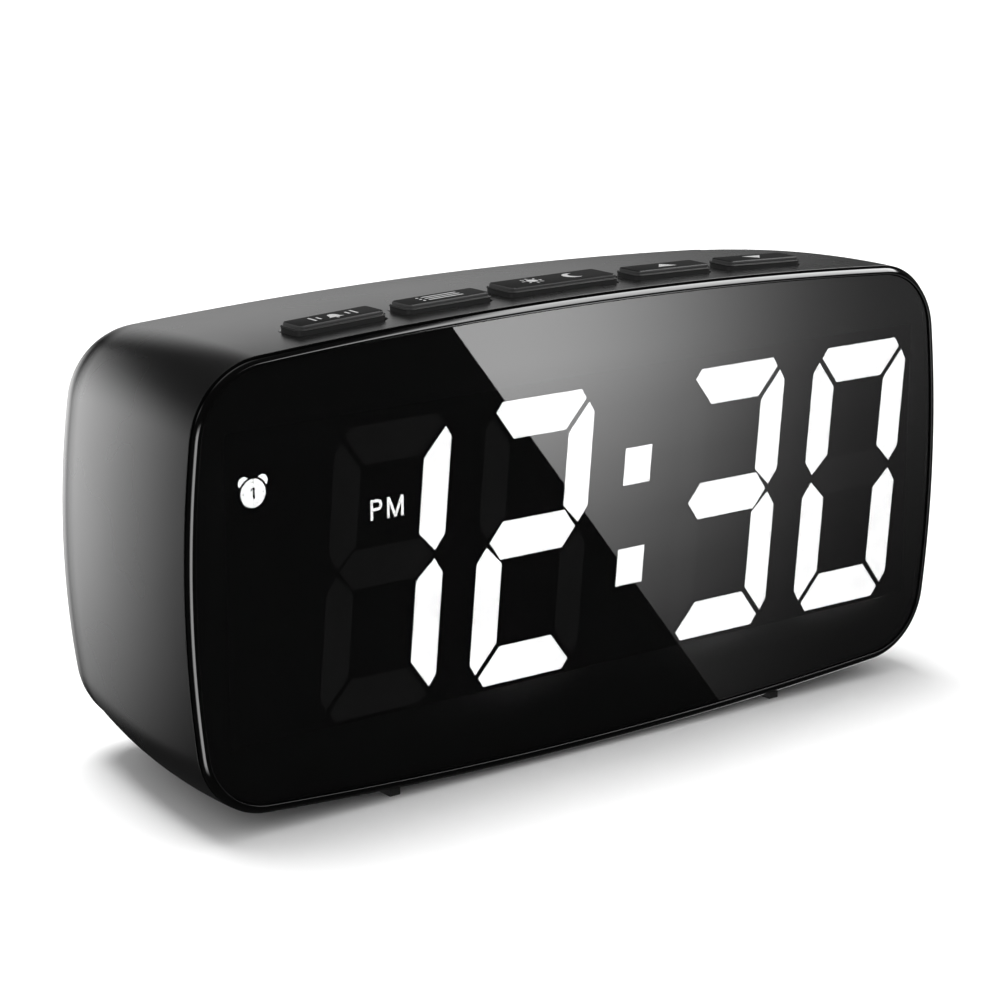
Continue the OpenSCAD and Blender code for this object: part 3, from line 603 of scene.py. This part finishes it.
def make_bezel():
    """Bezel with its four screw posts, each held to the rim by a web. Its walls that face inwards carry a
    painted shade: a dark, matt plastic that reflects almost nothing, so that the gap between it and the lens
    looks shaded and no studio light shows there."""
    rings = [rim_ring(inset, y) for inset, y in rim_profile()]
    bezel = make_mesh("front_bezel_rim", skin(rings, closed=True))
    tip = 0.3
    post = turned([
        (POST_R, LEDGE_Y + 0.5), (POST_R, board_lo.y - tip), (POST_R - tip, board_lo.y),
    ])
    hole = turned([(SCREW_R, board_lo.y - 4.9), (SCREW_R, board_lo.y + 0.1)], 32)
    posts = four_posts(lambda x, z, side: moved(post, backward(x, z)))
    webs = four_posts(lambda x, z, side: slab(
        x - WEB_T / 2, x + WEB_T / 2, LEDGE_Y + 0.7, SKIRT_BACK_Y - 0.3,
        min(z, z + side * WEB_H), max(z, z + side * WEB_H)))
    holes = four_posts(lambda x, z, side: moved(hole, backward(x, z)))
    boolean(bezel, "UNION", posts)
    boolean(bezel, "UNION", webs)
    boolean(bezel, "DIFFERENCE", holes)
    settle(smooth(bezel, 40), bezel_plastic, "case", ["front_bezel"])
    # The inward walls get the painted shade of the gap.
    bezel.data.materials.append(groove_painted_shade)
    middle = Vector((0, 0, CENTRE_Z))
    for polygon in bezel.data.polygons:
        inward = (middle - polygon.center / MM).dot(polygon.normal) > 0
        polygon.material_index = 1 if inward and abs(polygon.normal.y) < 0.5 else 0


def make_lens():
    """Smoked lens with a finely broken front edge. Its back face doesn't reflect."""
    edge = 0.06
    rings = [
        section(lens_lo.y, LENS_INSET + edge), section(lens_lo.y + edge * 0.3, LENS_INSET + edge * 0.3),
        section(lens_lo.y + edge, LENS_INSET), section(lens_hi.y, LENS_INSET),
    ]
    lens = piece("lens_pane", skin(rings), smoked_pane, "case", ["display_lens"], 20)
    lens.data.materials.append(smoked_back)
    for polygon in lens.data.polygons:
        polygon.material_index = 1 if polygon.normal.y > 0.9 else 0


def make_film():
    """Diffusing sheet between the lens and the display, clear of both by a hair."""
    low, high = box_mm("diffuser_film")
    middle_x, middle_z = (low.x + high.x) / 2, (low.z + high.z) / 2
    sheet = upright_pad(middle_x, middle_z, high.x - low.x, high.z - low.z, 3,
                        [(0, low.y + 0.02), (0, high.y - 0.04)])
    piece("film_sheet", sheet, tint_film, "case", ["diffuser_film"])


def make_lens_mask():
    """Black print on the back of the lens, round the window of the display."""
    middle = Vector(((reflector_hi.x + reflector_lo.x) / 2, 0, CENTRE_Z))
    half_w = (reflector_hi.x - reflector_lo.x) / 2 - 0.5
    half_h = (reflector_hi.z - reflector_lo.z) / 2 - 0.5

    def window(y):
        """Points of the window, each on the way from its middle to a point of the outline."""
        points = []
        for p in section(y, LENS_INSET + 0.05):
            away = p - middle
            share = min(half_w / max(abs(away.x), 1e-6), half_h / max(abs(away.z), 1e-6))
            points.append(Vector((middle.x + away.x * share, y, middle.z + away.z * share)))
        return points

    y0, y1 = lens_hi.y - 0.06, lens_hi.y - 0.02
    outer = [section(y, LENS_INSET + 0.05) for y in (y0, y1)]
    rings = [window(y0), outer[0], outer[1], window(y1)]
    piece("lens_mask_print", skin(rings, closed=True), mask_print, "case")


# ---------- Rear shell ----------

def shell_outside():
    """Outside of the shell: a small round at the parting line, the walls, and the round into
    the back."""
    stations = [lerp(SHELL_Y + LIP_R, TURN_Y, i / 18) for i in range(19)]
    lip = [(LIP_R * (1 - math.sin(a)), SHELL_Y + LIP_R * (1 - math.cos(a)))
           for a in (math.pi / 2 * i / 4 for i in range(4))]
    turn = [(BACK_R * (1 - math.cos(a)), TURN_Y + BACK_R * math.sin(a))
            for a in (math.pi / 2 * i / 14 for i in range(1, 15))]
    return skin([section(y, inset) for inset, y in lip]
                + [section(y, 0) for y in stations]
                + [section(y, inset) for inset, y in turn])


def shell_inside():
    """Inside of the shell: thin at the lip that the bezel's skirt enters, then WALL thick."""
    stations = [LIP_BACK_Y + (TURN_Y - LIP_BACK_Y) * i / 8 for i in range(9)]
    inner_r = BACK_R - WALL
    turn = [(WALL + inner_r * (1 - math.cos(a)), TURN_Y + inner_r * math.sin(a))
            for a in (math.pi / 2 * i / 6 for i in range(1, 7))]
    return skin([section(FRONT_Y, LIP_T), section(LIP_BACK_Y, LIP_T)]
                + [section(y, WALL) for y in stations]
                + [section(y, inset) for inset, y in turn])


def key_size(i):
    """Length and depth of a button."""
    return SNOOZE_SIZE if KEYS[i] == "snooze" else KEY_SIZE


def key_place(i):
    """Placement on the top surface, tilted with its crown."""
    x, y = KEY_ROW_X + KEY_STEPS[i], KEY_FRONT_Y + key_size(i)[1] / 2
    tilt = math.asin(x / top_radius(y))
    return Matrix.Translation((x, y, top_z(x, y))) @ Matrix.Rotation(tilt, 4, "Y")


def key_window(i):
    """Opening for a button, with its top edge broken."""
    levels = [(KEY_GAP, -WALL - 3), (KEY_GAP, -0.25), (KEY_GAP + 0.14, -0.08), (KEY_GAP + 0.45, 0.2)]
    return moved(stack(levels, *key_size(i), KEY_CORNER), key_place(i))


def back_hole(x, z, r, depth, edge=0.25, steps=48):
    """Round hole in the back, with its edge broken."""
    profile = [(r, BACK_Y - depth), (r, BACK_Y - edge), (r + edge + 0.5, BACK_Y + 0.5)]
    return moved(turned(profile, steps), backward(x, z))


def upright_pad(x, z, w, h, r, levels):
    """Rounded rectangle in the back plane: levels are (grow, depth)."""
    return moved(stack(levels, w, h, r), backward(x, z))


def gap_middle(i):
    """Middle of the space between one button and the next."""
    right = KEY_STEPS[i] + key_size(i)[0] / 2
    left = KEY_STEPS[i + 1] - key_size(i + 1)[0] / 2
    return KEY_ROW_X + (right + left) / 2


def inner_walls():
    """Bosses, key posts, bay block and socket cheeks that stay standing inside the shell."""
    boss = turned([(BOSS_R, board_hi.y), (BOSS_R, BACK_Y + 1)])
    bosses = four_posts(lambda x, z, side: moved(boss, backward(x, z)))
    board_top = box_mm("key_board")[1].z
    posts = joined([
        moved(turned([(1.5, board_top), (1.5, board_top + 20)], 24),
              Matrix.Translation((gap_middle(i), KEY_POST_Y, 0)))
        for i in range(len(KEYS) - 1)
    ])
    x, z = BAY_W / 2 + BAY_WALL, BAY_H / 2 + BAY_WALL
    block = slab(-x, x, BAY_FLOOR_Y - BAY_WALL, BACK_Y + 1, CENTRE_Z - z, CENTRE_Z + z)
    cheeks = [
        slab(SOCKET_X + s * CHEEK_X - 0.8, SOCKET_X + s * CHEEK_X + 0.8, BACK_Y - 12, BACK_Y + 1,
             SOCKET_Z - 5, SOCKET_Z + 5)
        for s in (-1, 1)
    ]
    return joined([bosses, posts, block, *cheeks])


def door_frame():
    """Pad of thicker wall round the door's recess."""
    grow = DOOR_GAP + 1.8
    return slab(-DOOR_W / 2 - grow, DOOR_W / 2 + grow, BACK_Y - 5, BACK_Y + 1,
                CENTRE_Z - DOOR_H / 2 - grow, CENTRE_Z + DOOR_H / 2 + grow)


def foot_slot(node):
    low, high = box_mm(node)
    return slab(low.x, high.x, low.y, high.y, -1, high.z)


def make_shell():
    """Rear shell: its outside less its inside, with every opening cut, and a painted shade on its rim at the
    parting line: a dark, matt plastic that reflects almost nothing, where the gap to the bezel falls in
    shade."""
    hollow = make_mesh("hollow", shell_inside())
    boolean(hollow, "DIFFERENCE", inner_walls())
    boolean(hollow, "DIFFERENCE", door_frame())
    shell = make_mesh("rear_shell", shell_outside())
    hollow_part = ([v.co / MM for v in hollow.data.vertices],
                   [tuple(f.vertices) for f in hollow.data.polygons])
    bpy.data.objects.remove(hollow)
    boolean(shell, "DIFFERENCE", hollow_part)
    boolean(shell, "DIFFERENCE", joined([key_window(i) for i in range(len(KEYS))]))

    recess = [(DOOR_GAP, BACK_Y - RECESS_D), (DOOR_GAP, BACK_Y - 0.25), (DOOR_GAP + 0.75, BACK_Y + 0.5)]
    wells = four_posts(lambda x, z, side: back_hole(x, z, SCREW_RECESS_R, BACK_Y - SCREW_FLOOR_Y))
    ring = [(BUZZER_X, BUZZER_Z)] + [
        (BUZZER_X + SOUND_RING_R * math.cos(a), BUZZER_Z + SOUND_RING_R * math.sin(a))
        for a in (math.radians(degrees) for degrees in range(0, 360, 60))
    ]
    sound = [back_hole(x, z, SOUND_HOLE_R, WALL + 1, 0.2, 24) for x, z in ring]
    socket = back_hole(SOCKET_X, SOCKET_Z, SOCKET_R + 0.2, WALL + 0.5, 0.35)
    boolean(shell, "DIFFERENCE", joined([
        upright_pad(0, CENTRE_Z, DOOR_W, DOOR_H, 1.2, recess), wells, *sound, socket,
        foot_slot("left_foot"), foot_slot("right_foot"),
    ]))
    shaft = turned([(SCREW_R + 0.2, board_hi.y - 1), (SCREW_R + 0.2, SCREW_FLOOR_Y + 1)], 24)
    shafts = four_posts(lambda x, z, side: moved(shaft, backward(x, z)))
    tabs = [
        slab(s * TAB_X - TAB_W / 2 - 0.4, s * TAB_X + TAB_W / 2 + 0.4, BACK_Y - 3.4, BACK_Y - 0.6,
             DOOR_BOTTOM - DOOR_GAP - 1.6, DOOR_BOTTOM + 2)
        for s in (-1, 1)
    ]
    pocket = upright_pad(0, CENTRE_Z, BAY_W, BAY_H, 0.8,
                         [(0, BAY_FLOOR_Y), (0, BACK_Y - RECESS_D + 0.5)])
    boolean(shell, "DIFFERENCE", joined([pocket, shafts]))
    boolean(shell, "DIFFERENCE", joined(tabs))
    settle(smooth(shell), shell_plastic, "case", ["rear_housing"])
    level(shell)
    # Faces of the rim at the parting line get the painted shade of the gap.
    shell.data.materials.append(groove_painted_shade)
    for polygon in shell.data.polygons:
        at_the_parting = polygon.center.y / MM < SHELL_Y + 0.05
        polygon.material_index = 1 if at_the_parting and polygon.normal.y < -0.5 else 0


# ---------- Buttons ----------

def disc(u, v, r, steps=24):
    """Flat outline of a round dot."""
    return arc((u, v), r, 0, 2 * math.pi, steps)


def bar(u0, u1, v0, v1):
    """Flat outline of a straight bar."""
    return [(u0, v0), (u1, v0), (u1, v1), (u0, v1)]


def crescent(u, v, r):
    """Moon open to the right."""
    outer = arc((u, v), r, math.radians(60), math.radians(300), 24)
    end = (u + r * math.cos(math.radians(300)), v + r * math.sin(math.radians(300)))
    inner = arc((u + 0.52 * r, v), r * 0.866, math.radians(272), math.radians(88), 18)
    return outer + [end] + inner[1:]


def bell():
    """Bell with a flared rim, as wide as it is high."""
    dome = arc((0, 0.15), 0.62, 0, math.pi, 12)
    return dome + [(-0.62, 0.15), (-0.72, -0.45), (-1.05, -0.8), (1.05, -0.8), (0.72, -0.45)]


MARK_SCALE = 1.4


def marks_of(name):
    """Flat outlines of the mark printed on a button, in steps of MARK_SCALE from its middle."""
    if name == "alarm":
        waves = [bar(s * 2.0 - 0.14, s * 2.0 + 0.14, -0.55, 0.55) for s in (-1, 1)]
        outer = [bar(s * 2.9 - 0.14, s * 2.9 + 0.14, -0.9, 0.9) for s in (-1, 1)]
        return [bell(), disc(0, -1.08, 0.2), *waves, *outer]
    if name == "mode":
        rows = [bar(-2.2, 2.8, v - 0.15, v + 0.15) for v in (-0.8, 0, 0.8)]
        return rows + [disc(-2.85, v, 0.2) for v in (-0.8, 0, 0.8)]
    if name == "snooze":
        sun_u = -3.2
        rays = []
        for i in range(8):
            angle = math.pi / 4 * i
            away = Vector((math.cos(angle), math.sin(angle)))
            side = Vector((-away.y, away.x)) * 0.12
            near, far = away * 1.0, away * 1.5
            corners = (near + side, near - side, far - side, far + side)
            rays.append([tuple(Vector((sun_u, 0)) + p) for p in corners])
        return [disc(sun_u, 0, 0.72), *rays, crescent(3.1, 0, 1.35)]
    tip = 1 if name == "up" else -1
    return [[(-1.5, -0.75 * tip), (1.5, -0.75 * tip), (0, 0.95 * tip)]]


def make_key(i):
    """Button with a flange under the shell, two tiers with rounded edges, a stem down to its
    plunger, and a printed mark."""
    name = KEYS[i]
    place = key_place(i)
    flange_top = -(WALL + KEY_GAP)
    levels = [
        (KEY_FLANGE, flange_top - KEY_FLANGE_T), (KEY_FLANGE, flange_top), (0, flange_top),
        (0, KEY_TIER - 0.16), (0.08, KEY_TIER - 0.09), (0.12, KEY_TIER), (0.06, KEY_TIER + 0.06),
        (-0.2, KEY_TIER + 0.08), (-0.27, KEY_TIER + 0.14), (-0.3, KEY_TIER + 0.25), (-0.34, KEY_PROUD - 0.26),
        (-0.42, KEY_PROUD - 0.13), (-0.54, KEY_PROUD - 0.04), (-0.72, KEY_PROUD),
    ]
    cap = make_mesh(f"{name}_key_cap", moved(stack(levels, *key_size(i), KEY_CORNER), place))
    foot = box_mm(f"{name}_plunger")[1].z
    middle = place.translation
    stem = turned([(1.5, foot), (1.5, middle.z + flange_top - KEY_FLANGE_T + 0.3)], 32)
    boolean(cap, "UNION", moved(stem, Matrix.Translation((middle.x, middle.y, 0))))
    settle(smooth(cap), key_top_plastic, f"{name}_key", [f"{name}_button"])
    # Sides get the lighter copy, a painted light; tops keep the darker plastic.
    cap.data.materials.append(key_side_painted_light)
    for polygon in cap.data.polygons:
        polygon.material_index = 0 if polygon.normal.z > 0.8 else 1
    outlines = [[(u * MARK_SCALE, v * MARK_SCALE) for u, v in mark] for mark in marks_of(name)]
    marks = joined([extruded(m, KEY_PROUD - 0.02, KEY_PROUD + 0.035) for m in outlines])
    piece(f"{name}_key_mark", moved(marks, place), print_paint, f"{name}_key")


# ---------- Back ----------

def make_door():
    """Battery door with two tabs below, two ribs inside, a finger notch and grip grooves."""
    out_y, in_y = door_hi.y, door_hi.y - DOOR_T
    edge = 0.3
    panel_levels = [(0, in_y), (0, out_y - edge), (-edge * 0.3, out_y - edge * 0.3), (-edge, out_y)]
    door = make_mesh("battery_cover", upright_pad(0, CENTRE_Z, DOOR_W, DOOR_H, 0.9, panel_levels))
    tabs = [
        slab(s * TAB_X - TAB_W / 2, s * TAB_X + TAB_W / 2, in_y, in_y + 0.9,
             DOOR_BOTTOM - 1.5, DOOR_BOTTOM + 1)
        for s in (-1, 1)
    ]
    rib_x = BAY_W / 2 - 8
    rib_z = 5.6
    ribs = [
        slab(-rib_x, rib_x, in_y - 1, in_y + 0.1,
             CENTRE_Z + s * rib_z - 0.5, CENTRE_Z + s * rib_z + 0.5)
        for s in (-1, 1)
    ]
    boolean(door, "UNION", joined(tabs + ribs))
    notch_middle = Matrix.Translation((0, out_y + 2.2, DOOR_BOTTOM + DOOR_H - 4))
    notch = moved(turned([(3, -6), (3, 6)], 64), notch_middle @ Matrix.Rotation(math.pi / 2, 4, "Y"))
    boolean(door, "DIFFERENCE", notch)
    groove_levels = [(-0.12, out_y - 0.35), (0, out_y - 0.15), (0.1, out_y + 0.2)]
    grooves = [
        upright_pad(0, CENTRE_Z + 9.5 - 1.6 * i, 16 - 2.6 * i, 0.7, 0.3, groove_levels)
        for i in range(4)
    ]
    boolean(door, "DIFFERENCE", joined(grooves))
    settle(smooth(door, 20), shell_plastic, "battery_door", ["battery_door"])
    level(door)


def make_screws():
    """Case screws on the floors of their wells, with domed heads and a cross slot in each."""
    head_r, head_h = 2.6, 1.8
    y0 = SCREW_FLOOR_Y
    screw = turned([
        (SCREW_R, board_lo.y - 4.3), (SCREW_R, y0 - 0.02), (head_r - 0.1, y0), (head_r, y0 + 0.15),
        (head_r, y0 + 0.7), (head_r * 0.86, y0 + 1.25), (head_r * 0.6, y0 + 1.6),
        (head_r * 0.3, y0 + head_h),
    ], 40)
    screws = make_mesh("case_screw_set", four_posts(lambda x, z, side: moved(screw, backward(x, z))))
    slot_floor, above = y0 + head_h - 1.0, y0 + 4
    long, thin = 1.7, 0.3
    for u, v in ((long, thin), (thin, long)):
        boolean(screws, "DIFFERENCE", four_posts(
            lambda x, z, side: slab(x - u, x + u, slot_floor, above, z - v, z + v)))
    settle(smooth(screws), steel, "case", ["case_screws"])


def make_socket_pin():
    """Metal sleeve over the inlet's centre pin."""
    y = BACK_Y - 0.2
    pin = turned([(1.06, y - 9.4), (1.06, y - 1.3), (0.85, y - 1.0), (0.4, y - 0.98)], 32)
    piece("inlet_pin", moved(pin, backward(SOCKET_X, SOCKET_Z)), spring_steel, "case")


def make_polarity_marks():
    """Raised plus and minus signs on the floor of the battery bay."""
    levels = [(0, BAY_FLOOR_Y - 0.05), (-0.1, BAY_FLOOR_Y + 0.3)]
    cell_step, sign_x = 11.2, 13
    parts = []
    for k in (-1, 0, 1):
        z = CENTRE_Z + cell_step * k
        plus_side = 1 if k == 0 else -1
        for side in (-1, 1):
            x = side * sign_x
            parts.append(upright_pad(x, z, 4, 0.9, 0.2, levels))
            if side == plus_side:
                parts += [upright_pad(x, z + s * 1.3, 0.9, 1.6, 0.2, levels) for s in (-1, 1)]
    piece("polarity_marks", joined(parts), shell_plastic, "case")


# ---------- CAD nodes that keep their shape ----------

def paint(node, material, edge=0.0, rounded=True):
    """New material on a CAD node, smooth shading if it is rounded, and edges broken by a bevel."""
    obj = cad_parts[node]
    obj.data.materials.clear()
    obj.data.materials.append(material)
    for polygon in obj.data.polygons:
        polygon.use_smooth = rounded
        polygon.material_index = 0
    if edge:
        bevel = obj.modifiers.new("edges", "BEVEL")
        bevel.width = edge * MM
        bevel.segments = 3
        bevel.limit_method = "ANGLE"
        bevel.angle_limit = math.radians(SHARP_DEGREES)
        bevel.harden_normals = True


FLAT_SHEETS = {
    "lens_tape": inner_black, "display_reflector": reflector_black,
    "led_chips": led_resin, "key_ribbon": cable_film,
}
PAINTED = {
    "display_board": (green_board, 0.05), "driver_chip": (chip_epoxy, 0.05),
    "clock_crystal": (steel, 0.2), "capacitors": (can_sleeve, 0.3),
    "lead_headers": (nylon, 0.2), "key_board": (green_board, 0.05),
    "tact_switches": (chip_epoxy, 0.15), "key_board_screws": (steel, 0.1),
    "buzzer": (chip_epoxy, 0.3),
    "buzzer_leads": (red_wire, 0), "power_socket": (chip_epoxy, 0.2),
    "power_leads": (black_wire, 0), "battery_springs": (spring_steel, 0),
    "battery_plates": (spring_steel, 0.1), "battery_leads": (red_wire, 0),
    "left_foot": (foot_rubber, 0.35), "right_foot": (foot_rubber, 0.35),
}


def light_up(node, material):
    """Resin that glows only at its front, or shows a faint painted glow there when unlit: its sides lie
    against the black reflector.
    """
    paint(node, material, rounded=False)
    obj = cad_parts[node]
    obj.data.materials.append(reflector_black)
    for polygon in obj.data.polygons:
        polygon.material_index = 0 if polygon.normal.y < -0.9 else 1


def paint_nodes():
    for node, (material, edge) in PAINTED.items():
        paint(node, material, edge)
    for node, material in FLAT_SHEETS.items():
        paint(node, material, rounded=False)
    for mark in ("colon_dots", "pm_indicator", "alarm_indicator"):
        light_up(mark, segment_light)
    for digit in ("hour_tens", "hour_units", "minute_tens", "minute_units"):
        light_up(f"{digit}_lit", segment_light)
        # Unlit segments get a faint painted glow in place of the light they reflect.
        light_up(f"{digit}_unlit", unlit_segment_painted_glow)
    for key in KEYS:
        paint(f"{key}_plunger", nylon, 0.15)


# ---------- Studio ----------

def look_from(azimuth, elevation):
    """Rotation of a camera that looks at the clock from this azimuth and elevation."""
    return (math.radians(90 - elevation), 0, math.radians(azimuth))


def make_camera():
    """Camera to the left of the front, looking slightly down."""
    data = bpy.data.cameras.new("camera")
    data.sensor_width = 36
    data.lens = 104.46
    camera = bpy.data.objects.new("camera", data)
    bpy.context.scene.collection.objects.link(camera)
    camera.location = Vector((-307.2, -403.2, 169.9)) * MM
    camera.rotation_euler = look_from(-37.3, 14.43)
    bpy.context.scene.camera = camera
    return camera


def make_floor():
    """Pale round floor, kept out of reflections, where the cards are."""
    t = Tree("floor_paint")
    shade = t.shades(t.noise(6.0, 3.0), grey(0.93), grey(0.94))
    shader = t.node("ShaderNodeBsdfPrincipled", {"Base Color": shade, "Roughness": 0.9})
    material = t.finish(shader.outputs[0])
    bpy.ops.mesh.primitive_circle_add(vertices=96, radius=6, fill_type="NGON")
    floor = bpy.context.object
    floor.name = "floor"
    floor.data.materials.append(material)
    floor.visible_glossy = False


def make_world():
    """White backdrop, soft room light, and near darkness for reflections, which the cards fill."""
    world = bpy.data.worlds.new("room")
    bpy.context.scene.world = world
    world.use_nodes = True
    nodes, links = world.node_tree.nodes, world.node_tree.links
    nodes.clear()
    path = nodes.new("ShaderNodeLightPath")

    def glow(strength):
        made = nodes.new("ShaderNodeBackground")
        made.inputs[0].default_value = (1, 1, 1, 1)
        made.inputs[1].default_value = strength
        return made.outputs[0]

    def choose(ray, otherwise, chosen):
        """One glow for rays of this kind, and another for the rest."""
        mix = nodes.new("ShaderNodeMixShader")
        links.new(path.outputs[ray], mix.inputs[0])
        links.new(otherwise, mix.inputs[1])
        links.new(chosen, mix.inputs[2])
        return mix.outputs[0]

    room_light, in_reflections, backdrop = 0.7, 0.03, 1.5
    room = choose("Is Glossy Ray", glow(room_light), glow(in_reflections))
    output = nodes.new("ShaderNodeOutputWorld")
    links.new(choose("Is Camera Ray", room, glow(backdrop)), output.inputs[0])


def make_window():
    """Broad soft light from above and behind. It is kept out of reflections, where the cards are."""
    light = bpy.data.lights.new("window", "SUN")
    light.energy = 2.8
    light.angle = math.radians(32)
    window = bpy.data.objects.new("window", light)
    window.rotation_euler = (math.radians(-14), math.radians(-2), 0)
    window.visible_glossy = False
    bpy.context.scene.collection.objects.link(window)


def card_light(name, strength, soft, lean):
    """Emission that fades towards a card's edges, and leans brighter to one side."""
    t = Tree(name)
    split = t.node("ShaderNodeSeparateXYZ", {"Vector": t.place()})
    fades = []
    for axis in (0, 1):
        distance = t.node("ShaderNodeMath", {0: split.outputs[axis]}, operation="ABSOLUTE").outputs[0]
        links = {"Value": distance, "From Min": 1 - soft, "From Max": 1.0, "To Min": 1.0, "To Max": 0.0}
        fades.append(t.node("ShaderNodeMapRange", links, interpolation_type="SMOOTHSTEP").outputs["Result"])
    both = t.node("ShaderNodeMath", {0: fades[0], 1: fades[1]}, operation="MULTIPLY").outputs[0]
    for axis in (0, 1):
        if lean[axis]:
            links = {"Value": split.outputs[axis], "From Min": -1.0, "From Max": 1.0,
                     "To Min": 1 - lean[axis], "To Max": 1 + lean[axis]}
            slope = t.node("ShaderNodeMapRange", links).outputs["Result"]
            both = t.node("ShaderNodeMath", {0: both, 1: slope}, operation="MULTIPLY").outputs[0]
    power = t.node("ShaderNodeMath", {0: both, 1: strength}, operation="MULTIPLY").outputs[0]
    emission = t.node("ShaderNodeEmission", {"Strength": power})
    return t.finish(emission.outputs[0])


CARD_DISTANCE = 900


def make_card(name, azimuth, elevation, wide, high, strength, soft, lean=(0, 0)):
    """Glowing card seen only in reflections. It hangs in the direction (azimuth from +Y towards
    +X, elevation) seen from the clock, and spans wide and high degrees."""
    a, e = math.radians(azimuth), math.radians(elevation)
    away = Vector((math.sin(a) * math.cos(e), math.cos(a) * math.cos(e), math.sin(e)))
    middle = Vector((0, 0, CENTRE_Z))
    corners = [Vector(c) for c in ((-1, -1, 0), (1, -1, 0), (1, 1, 0), (-1, 1, 0))]
    card = make_mesh(name, ([c / MM for c in corners], [(0, 1, 2, 3)]))
    half_w = CARD_DISTANCE * math.tan(math.radians(wide / 2)) * MM
    half_h = CARD_DISTANCE * math.tan(math.radians(high / 2)) * MM
    card.scale = (half_w, half_h, 1)
    card.rotation_mode = "QUATERNION"
    card.rotation_quaternion = (-away).to_track_quat("Z", "Y")
    card.location = (middle + away * CARD_DISTANCE) * MM
    card.data.materials.append(card_light(name + "_light", strength, soft, lean))
    show_in_reflections_only(card)


def show_in_reflections_only(card):
    card.visible_camera = False
    card.visible_diffuse = False
    card.visible_transmission = False
    card.visible_shadow = False
    card.visible_volume_scatter = False


GLARE_DISTANCE = 600
GLARE_EDGE_TOP = (-31, 38.3)
GLARE_EDGE_BOTTOM = (29, -38)
GLARE_RIGHT = 130
GLARE_HALF_H = 60
LENS_REFLECTS = 0.05  # about the share of light that the lens reflects
EYE_GAMMA = 2.2  # power that turns a tone into light


def make_glare_card(camera):
    """Card whose mirror image covers the right part of the lens. Its slanted left edge runs
    from GLARE_EDGE_TOP to GLARE_EDGE_BOTTOM on the lens, both from the lens's middle."""
    plane_y = lens_lo.y
    eye = camera.location / MM
    image = Vector((eye.x, 2 * plane_y - eye.y, eye.z))

    def mirrored(x, z):
        """Point of the card that the eye sees in this point of the lens."""
        point = Vector((x, plane_y, z + CENTRE_Z))
        share = (plane_y - GLARE_DISTANCE - image.y) / (plane_y - image.y)
        return image + (point - image) * share

    columns, rows = 40, 12
    (top_x, top_z), (bottom_x, bottom_z) = GLARE_EDGE_TOP, GLARE_EDGE_BOTTOM
    points, glow = [], []
    for j in range(rows + 1):
        v = lerp(GLARE_HALF_H, -GLARE_HALF_H, j / rows)
        edge = lerp(top_x, bottom_x, (top_z - v) / (top_z - bottom_z))
        for i in range(columns + 1):
            u = lerp(edge, GLARE_RIGHT, i / columns)
            points.append(mirrored(u, v))
            glow.append(glare_strength(u, v))
    row = columns + 1
    faces = [
        (j * row + i, j * row + i + 1, (j + 1) * row + i + 1, (j + 1) * row + i)
        for j in range(rows) for i in range(columns)
    ]
    mesh = bpy.data.meshes.new("glare_card")
    mesh.from_pydata([p * MM for p in points], [], faces)
    layer = mesh.attributes.new("glow", "FLOAT", "POINT")
    layer.data.foreach_set("value", glow)
    card = bpy.data.objects.new("glare_card", mesh)
    bpy.context.scene.collection.objects.link(card)
    t = Tree("glare_light")
    strength = t.node("ShaderNodeAttribute", attribute_name="glow").outputs["Fac"]
    mesh.materials.append(t.finish(t.node("ShaderNodeEmission", {"Strength": strength}).outputs[0]))
    show_in_reflections_only(card)


def glare_strength(u, v):
    """Brightness of the card behind the lens point u right of and v above its middle. The
    tone seen in the lens fades to the right and downwards, never quite to nothing."""
    fade_from, fade_over = -23, 100
    across = (1 + math.cos(math.pi * clamp01((u - fade_from) / fade_over))) / 2
    dim_from, dim_over, dim_by = 30, 66, 0.8
    down = 1 - dim_by * clamp01((dim_from - v) / dim_over)
    least, right_tone, left_gain = 0.047, 0.13, 0.475
    tone = least + (right_tone + left_gain * across) * down
    return tone ** EYE_GAMMA / LENS_REFLECTS


def make_studio():
    camera = make_camera()
    make_floor()
    make_world()
    make_window()
    make_card("rear_left_card", -8, -5, 68, 52, 3.0, 1.0)
    make_card("rear_right_card", 30, 12, 48, 40, 0.76, 0.8, (-0.5, 0.35))
    make_card("overhead_card", 112, 48, 96, 36, 6.5, 0.3)
    make_card("rear_view_card", 135, 22, 44, 22, 0.9, 1.0)
    make_card("left_front_card", -115, -14, 26, 66, 6.5, 0.5)
    make_card("left_view_card", -142, -12, 30, 34, 0.4, 1.0)
    make_card("upper_left_card", -68, 28, 38, 26, 1.6, 1.0)
    make_card("low_right_card", 54, -26, 34, 26, 1.6, 1.0)
    make_card("right_side_card", 92, -4, 46, 52, 1.8, 1.0)
    make_card("roof_card", -15, 64, 70, 36, 1.4, 1.0)
    make_glare_card(camera)
    bpy.context.scene.view_settings.view_transform = "Standard"


# ---------- Making ----------

make_studio()
paint_nodes()
make_bezel()
make_lens()
make_film()
make_lens_mask()
make_shell()
for number in range(len(KEYS)):
    make_key(number)
make_door()
make_screws()
make_socket_pin()
make_polarity_marks()
